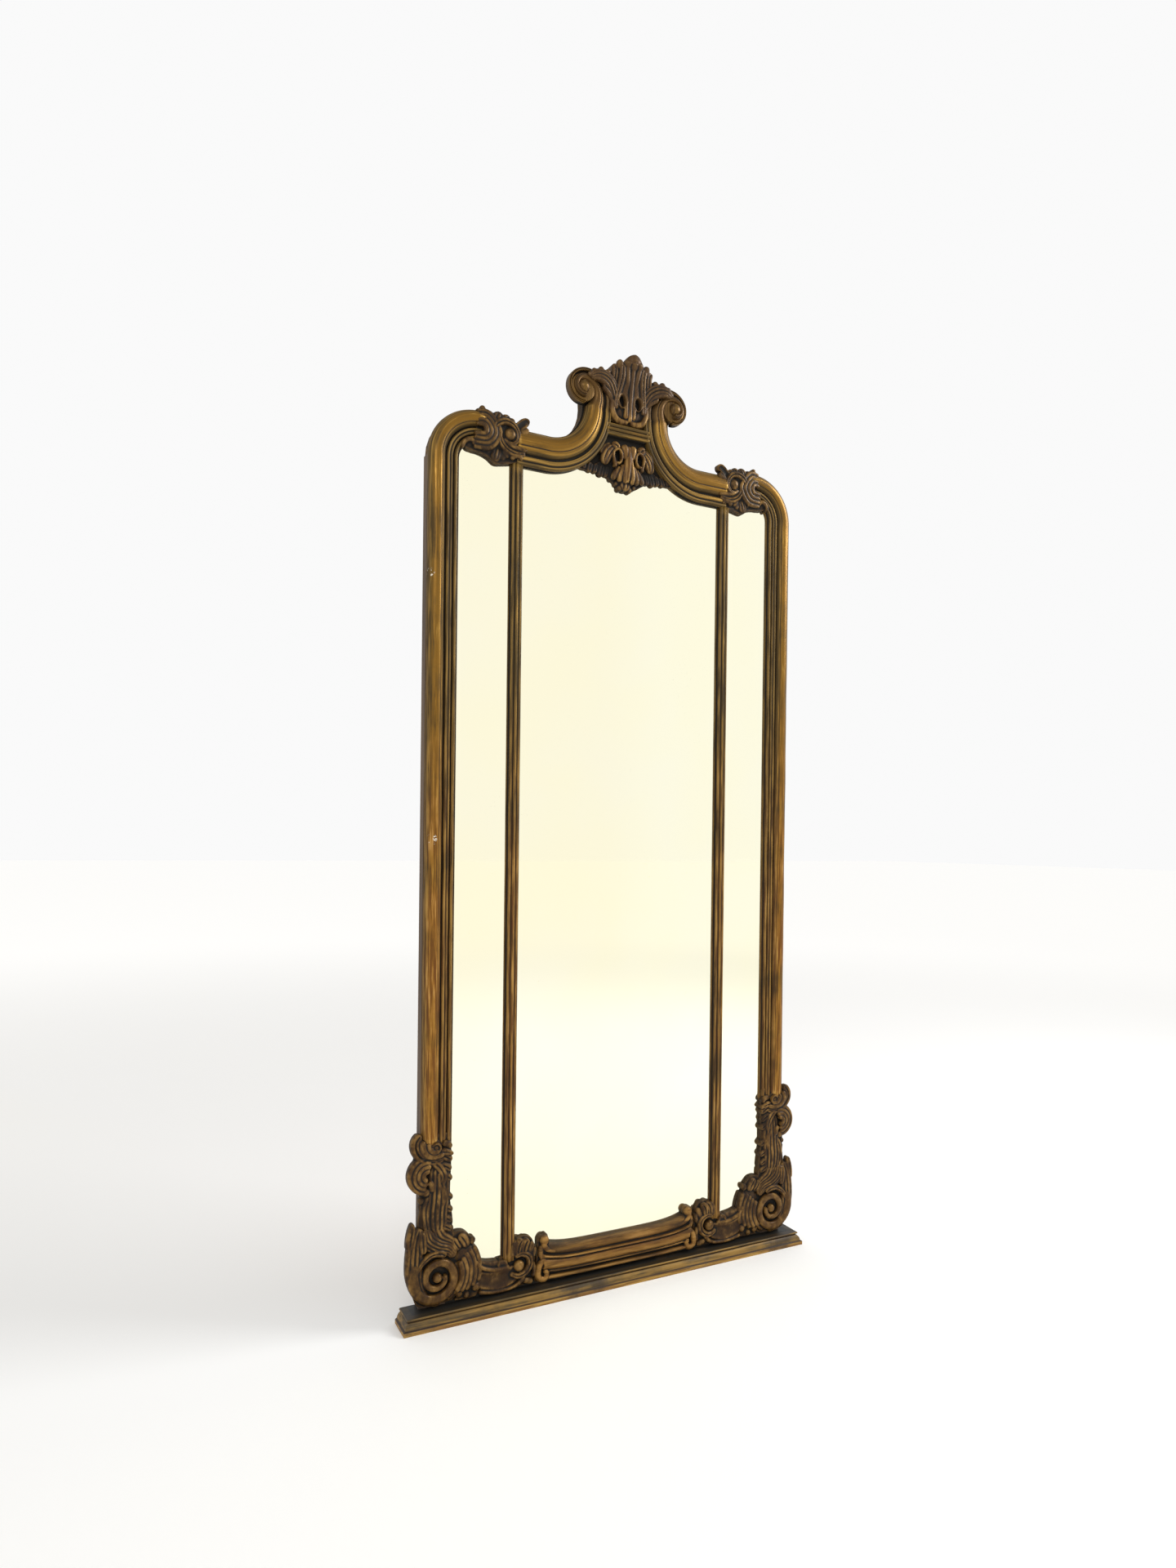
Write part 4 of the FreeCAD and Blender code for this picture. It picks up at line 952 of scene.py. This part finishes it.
def base_volute():
    """The scroll foot: a strap that winds in on its eye, with an outer fluted leaf.

    Over one and two thirds turns the strap's radius falls from 57 to 15, half of that in the first
    36% of the way, and its width falls with it.
    """
    turn = np.radians(np.linspace(40, -560, 44))
    share = np.linspace(0, 1, 44)
    early = np.clip(share / 0.36, 0, 1)
    late = np.clip((share - 0.36) / 0.64, 0, 1)
    radius = 57 - 21 * early ** 0.9 - 21 * late
    half = 12 - 6.5 * share ** 0.8
    rows = np.column_stack([radius * np.cos(turn), radius * np.sin(turn), half, np.full(44, 7.0)])
    skins = [
        plate([(-34, -57), (34, -57), (50, -35), (60, -9), (64, 25), (60, 65), (52, 101),
               (30, 105), (-32, 105), (-34, 55), (-48, 33), (-52, -3), (-48, -39)], 9),
        stroke(rows, 15),
        bead(0, 0, 10, 9, 15),
        stroke([(46, 17, 4, 5), (34, 37, 6, 8), (14, 51, 7, 9), (-6, 51, 8.5, 9),
                (-18, 43, 7, 7)], 15, veined),
        stroke([(38, 109, 12, 5), (46, 81, 17, 8), (49, 45, 19, 10), (49, 9, 18, 10),
                (40, -23, 15, 9), (20, -45, 11, 8), (-8, -55, 7, 5)], 11, fluted(4, 0.38)),
        stroke([(54, 121, 4, 3), (55, 107, 8, 6), (58, 87, 9, 7), (60, 65, 8, 6)], 12, veined),
        stroke([(26, 105, 15, 6), (20, 81, 18, 9), (0, 65, 17, 10), (-24, 55, 14, 8),
                (-38, 37, 8, 6)], 12, fluted(5, 0.5)),
        stroke([(34, 101, 9, 6), (32, 75, 10, 8), (30, 55, 8, 7)], 14, fluted(2)),
        stroke([(2, 105, 14, 6), (-8, 85, 13, 7), (-26, 73, 10, 6),
                (-36, 65, 6, 5)], 11, fluted(3)),
        stroke([(-40, 23, 7, 5), (-46, -3, 8, 6), (-40, -31, 8, 6), (-22, -51, 6, 5)], 10),
    ]
    carved_pair("carved_volute", skins, BASE_EYE, "base_volute")


def base_leaf():
    """The fan leaf beside the volute: ridges that follow the volute's round."""
    skins = [
        plate([(-40, -59), (-56, -37), (-58, -3), (-54, 29), (-36, 57), (-34, 83), (-52, 87),
               (-66, 81), (-78, 65), (-82, 43), (-90, 17), (-96, -15), (-94, -45), (-84, -59)], 9),
        stroke([(-56, 55, 20, 6), (-68, 23, 24, 10), (-72, -11, 24, 10), (-66, -41, 20, 7)], 7),
    ]
    for k, (top, foot) in enumerate(((150, 224), (148, 218), (146, 212), (146, 204), (148, 196))):
        r = 54 + 10 * k
        skins.append(arc((0, 0), r, top, foot, 6.2, 7, 14.5 - 1.4 * k))
    skins += [
        bead(-87, -37, 10, 9, 9),
        stroke([(-66, 51, 9, 6), (-58, 68, 11, 8), (-48, 81, 9, 6)], 10, fluted(2)),
        stroke([(-50, 49, 8, 6), (-40, 63, 9, 7), (-34, 75, 6, 5)], 10, veined),
        stroke([(-76, 55, 7, 5), (-80, 70, 7, 6)], 8),
        stroke([(-38, -29, 7, 6), (-48, -43, 8, 7), (-44, -52, 6, 5)], 10),
        stroke([(-60, -49, 8, 6), (-72, -53, 7, 5)], 9),
    ]
    carved_pair("carved_base_leaf", skins, BASE_EYE, "base_leaf")


def toe_scroll():
    """The hollow foot under the mullion, its light lower rim, its eye and its leafy cap."""
    skins = [
        plate([(70, 38), (68, 60), (70, 96), (60, 104), (30, 100), (18, 98), (18, 106), (-18, 108),
               (-18, 138), (-34, 144), (-50, 140), (-59, 126), (-63, 96), (-61, 60), (-54, 42),
               (-34, 36), (20, 36)], 7),
        stroke([(80, 78, 14, 5), (54, 66, 20, 7), (22, 62, 23, 8), (-6, 68, 20, 7),
                (-24, 80, 12, 5)], 9, hollow),
        stroke([(70, 44, 4, 4), (42, 39, 4, 5), (14, 38, 4, 5), (-10, 41, 4, 5), (-26, 50, 5, 7),
                (-34, 62, 5, 6)], 13),
        stroke([(80, 116, 4, 4), (66, 98, 5, 6), (44, 88, 5, 6), (20, 85, 5, 5),
                (0, 87, 4, 4)], 12),
        stroke([(72, 104, 8, 4), (48, 97, 8, 5), (22, 95, 7, 4)], 8),
        bead(-22, 84, 12, 9, 14),
        stroke([(-2, 70, 5, 4), (-20, 62, 7, 7), (-38, 68, 8, 8), (-48, 84, 8, 8),
                (-44, 101, 8, 8), (-28, 109, 7, 7), (-12, 104, 5, 5)], 12, veined),
        stroke([(-8, 104, 6, 5), (-12, 124, 9, 7), (-20, 138, 8, 6)], 9),
        stroke([(-18, 106, 7, 6), (-22, 128, 10, 8), (-30, 141, 8, 7)], 11, veined),
        stroke([(-32, 108, 7, 6), (-36, 128, 10, 8), (-44, 139, 8, 7)], 12, veined),
        stroke([(-44, 102, 6, 5), (-50, 118, 8, 7), (-55, 130, 6, 6)], 10),
        stroke([(-51, 92, 5, 4), (-58, 106, 6, 6), (-60, 118, 5, 5)], 9),
        stroke([(-32, 50, 6, 5), (-46, 45, 7, 6), (-57, 44, 6, 5)], 10),
        stroke([(-54, 86, 5, 4), (-59, 68, 5, 6), (-56, 52, 4, 4)], 11),
        stroke([(16, 84, 13, 5), (16, 103, 14, 6)], 12, hollow),
    ]
    carved_pair("carved_toe", skins, (MULLION, 0), "toe_scroll")


def bottom_panel():
    """The moulded panel between the toe scrolls, with a knob and a squared curl at each end.

    Its section runs up from a bead, over a groove and a broad round, to a bead and a lip. Its top
    edge rises with the fifth power of the distance from the middle, its foot with the fourth.
    """
    s = np.linspace(0, 1, 70)
    section = humps(s, ((0.0, 0.13, 0.35, 0.4), (0.19, 0.27, 0.45, 0.2), (0.27, 0.57, 0.46, 0.44),
                        (0.585, 0.665, 0.6, 0.26), (0.655, 1.0, 0.3, 0.36)), 0.3)
    x = np.linspace(-PANEL_HALF, PANEL_HALF, 160)
    low = np.column_stack([x, 37 + 3 * np.abs(x / 199) ** 4])
    high = np.column_stack([x, 110 + 22 * np.abs(x / 199) ** 5])
    ends = [
        plate([(176, 38), (206, 38), (208, 60), (202, 100), (202, 130), (190, 138),
               (176, 130)], 8),
        bead(187, 127, 11, 9, 11),
        stroke([(160, 99, 3, 4), (176, 104, 5, 6), (187, 114, 7, 8), (190, 126, 7, 8)], 12),
        stroke([(193, 118, 6, 6), (196, 100, 6, 6), (190, 86, 5, 5)], 11),
        stroke([(176, 88, 8, 5), (186, 78, 9, 7), (190, 64, 8, 6)], 10),
        stroke([(184, 88, 6, 5), (198, 76, 7, 7), (203, 60, 7, 8), (200, 47, 7, 8),
                (187, 44, 7, 8), (182, 56, 6, 7), (189, 62, 6, 7)], 13),
    ]
    skins = [laid_between(s, section, low, high, 24), *both(ends)]
    mesh = fused("gilt_bottom_panel", skins, 1.4, 1)
    add("gilt_bottom_panel", mesh, panel_gilt, "gilt_moulding", "bottom_panel")


corner_clasp()
crest_leaf()
pendant_leaf()
side_drop()
base_volute()
base_leaf()
toe_scroll()
bottom_panel()


# ---- frame parts that stay as they are

FINISHES = (
    ("mirror_plate", silvered_plate),
    ("plinth_moulding", plinth_gilt),
    ("plinth_board", black_paint),
    ("plinth_screws", screw_metal),
    ("backboard", bare_pine),
    ("mid_stile", bare_pine),
    ("post_", bare_pine),
    ("stile_blocks", bare_pine),
    ("stile_", stained_wood),
    ("crest_board", crest_finish),
    ("bottom_rail", black_paint),
)
for node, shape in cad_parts.items():
    if shape.hide_render:
        continue
    finish = next(material for start, material in FINISHES if node.startswith(start))
    shape.data.materials.clear()
    shape.data.materials.append(finish)


# ---- floor, light and camera

def by_direction(paint, east, north, ahead, left, right):
    """Pale ahead, and behind the camera two tones for what the plates reflect: left and right."""
    side = (0.867 * east + 0.498 * north).step(-0.05, 0.03)
    return paint.mix(side, left, paint.mix(north.step(0.0, -0.2), ahead, right))


def studio():
    """A pale floor, a pale surround and two large soft lights.

    The surround is a little creamier behind the camera, and it darkens into a ceiling. The floor
    glows softly from 1.2 m out, so that it meets the surround without a line.
    """
    mesh = bpy.data.meshes.new("studio_floor")
    far = 40.0
    corners = [(-far, -far, 0), (far, -far, 0), (far, far, 0), (-far, far, 0)]
    mesh.from_pydata(corners, [], [(0, 1, 2, 3)])
    floor = bpy.data.objects.new("studio_floor", mesh)
    bpy.context.scene.collection.objects.link(floor)
    paint = Paint("pale_floor")
    tint = paint.noise(paint.coordinates(), 2.0, 2.0, 0.5)
    east, north = (paint.part(paint.coordinates(), axis) for axis in "XY")
    away = (east * east + north * north) ** 0.5
    glow = by_direction(paint, east * away ** -1, north * away ** -1, grey(0.24),
                        tone(0.268, 0.243, 0.178), tone(0.278, 0.268, 0.228))
    paint.surface(Base_Color=paint.mix(tint, grey(0.955), grey(0.965)),
                  Roughness=1.0, Specular_IOR_Level=0.0, Emission_Strength=1.0,
                  Emission_Color=paint.mix(away.step(1.2, 8.0), grey(0), glow))
    mesh.materials.append(paint.material)
    world = bpy.data.worlds.new("surround")
    world.use_nodes = True
    sky = Surround(world)
    way = sky.node("ShaderNodeTexCoord", {}, {}).outputs["Generated"]
    east, north, up = (sky.part(way, axis) for axis in "XYZ")
    walls = by_direction(sky, east, north, grey(0.955), tone(0.985, 0.960, 0.895),
                         tone(0.993, 0.983, 0.943))
    tint = sky.mix(up.step(0.70, 0.80), walls, grey(0.52))
    sky.put(world.node_tree.nodes["Background"], {"Color": tint, "Strength": 1.0})
    bpy.context.scene.world = world
    for name, place, aim, width, power in (("key", (2.9, -1.2, 3.0), (0, 0, 0.8), 1.5, 72.0),
                                           ("fill", (-1.6, -3.6, 3.4), (0, 0, 1.2), 1.2, 28.0)):
        lamp = bpy.data.lights.new(name, "AREA")
        lamp.size = width
        lamp.energy = power
        light = bpy.data.objects.new(name, lamp)
        bpy.context.scene.collection.objects.link(light)
        light.location = place
        light.rotation_euler = (Vector(aim) - Vector(place)).to_track_quat("-Z", "Y").to_euler()


def camera():
    """The camera where the photograph was taken from, found by fitting the frame's edges."""
    place = Vector((-1.03795, -1.89144, 1.01137))
    yaw, pitch, roll = -0.477705804, -0.00589010, 0.0118779460
    forward = Matrix.Rotation(yaw, 3, "Z") @ Vector((0, math.cos(pitch), math.sin(pitch)))
    right = Matrix.Rotation(yaw, 3, "Z") @ Vector((1, 0, 0))
    up = right.cross(forward)
    level = math.cos(roll) * right + math.sin(roll) * up
    upright = -math.sin(roll) * right + math.cos(roll) * up
    lens = bpy.data.cameras.new("photo_camera")
    lens.sensor_fit = "VERTICAL"
    lens.sensor_height = lens.sensor_width = 36.0
    lens.lens = 1150 / 1920 * 36.0
    lens.shift_x = -15 / 1920
    lens.shift_y = 76 / 1920
    eye = bpy.data.objects.new("photo_camera", lens)
    bpy.context.scene.collection.objects.link(eye)
    turn = Matrix((level, upright, -forward)).transposed().to_4x4()
    eye.matrix_world = Matrix.Translation(place) @ turn
    bpy.context.scene.camera = eye
    bpy.context.scene.view_settings.view_transform = "Standard"


studio()
camera()
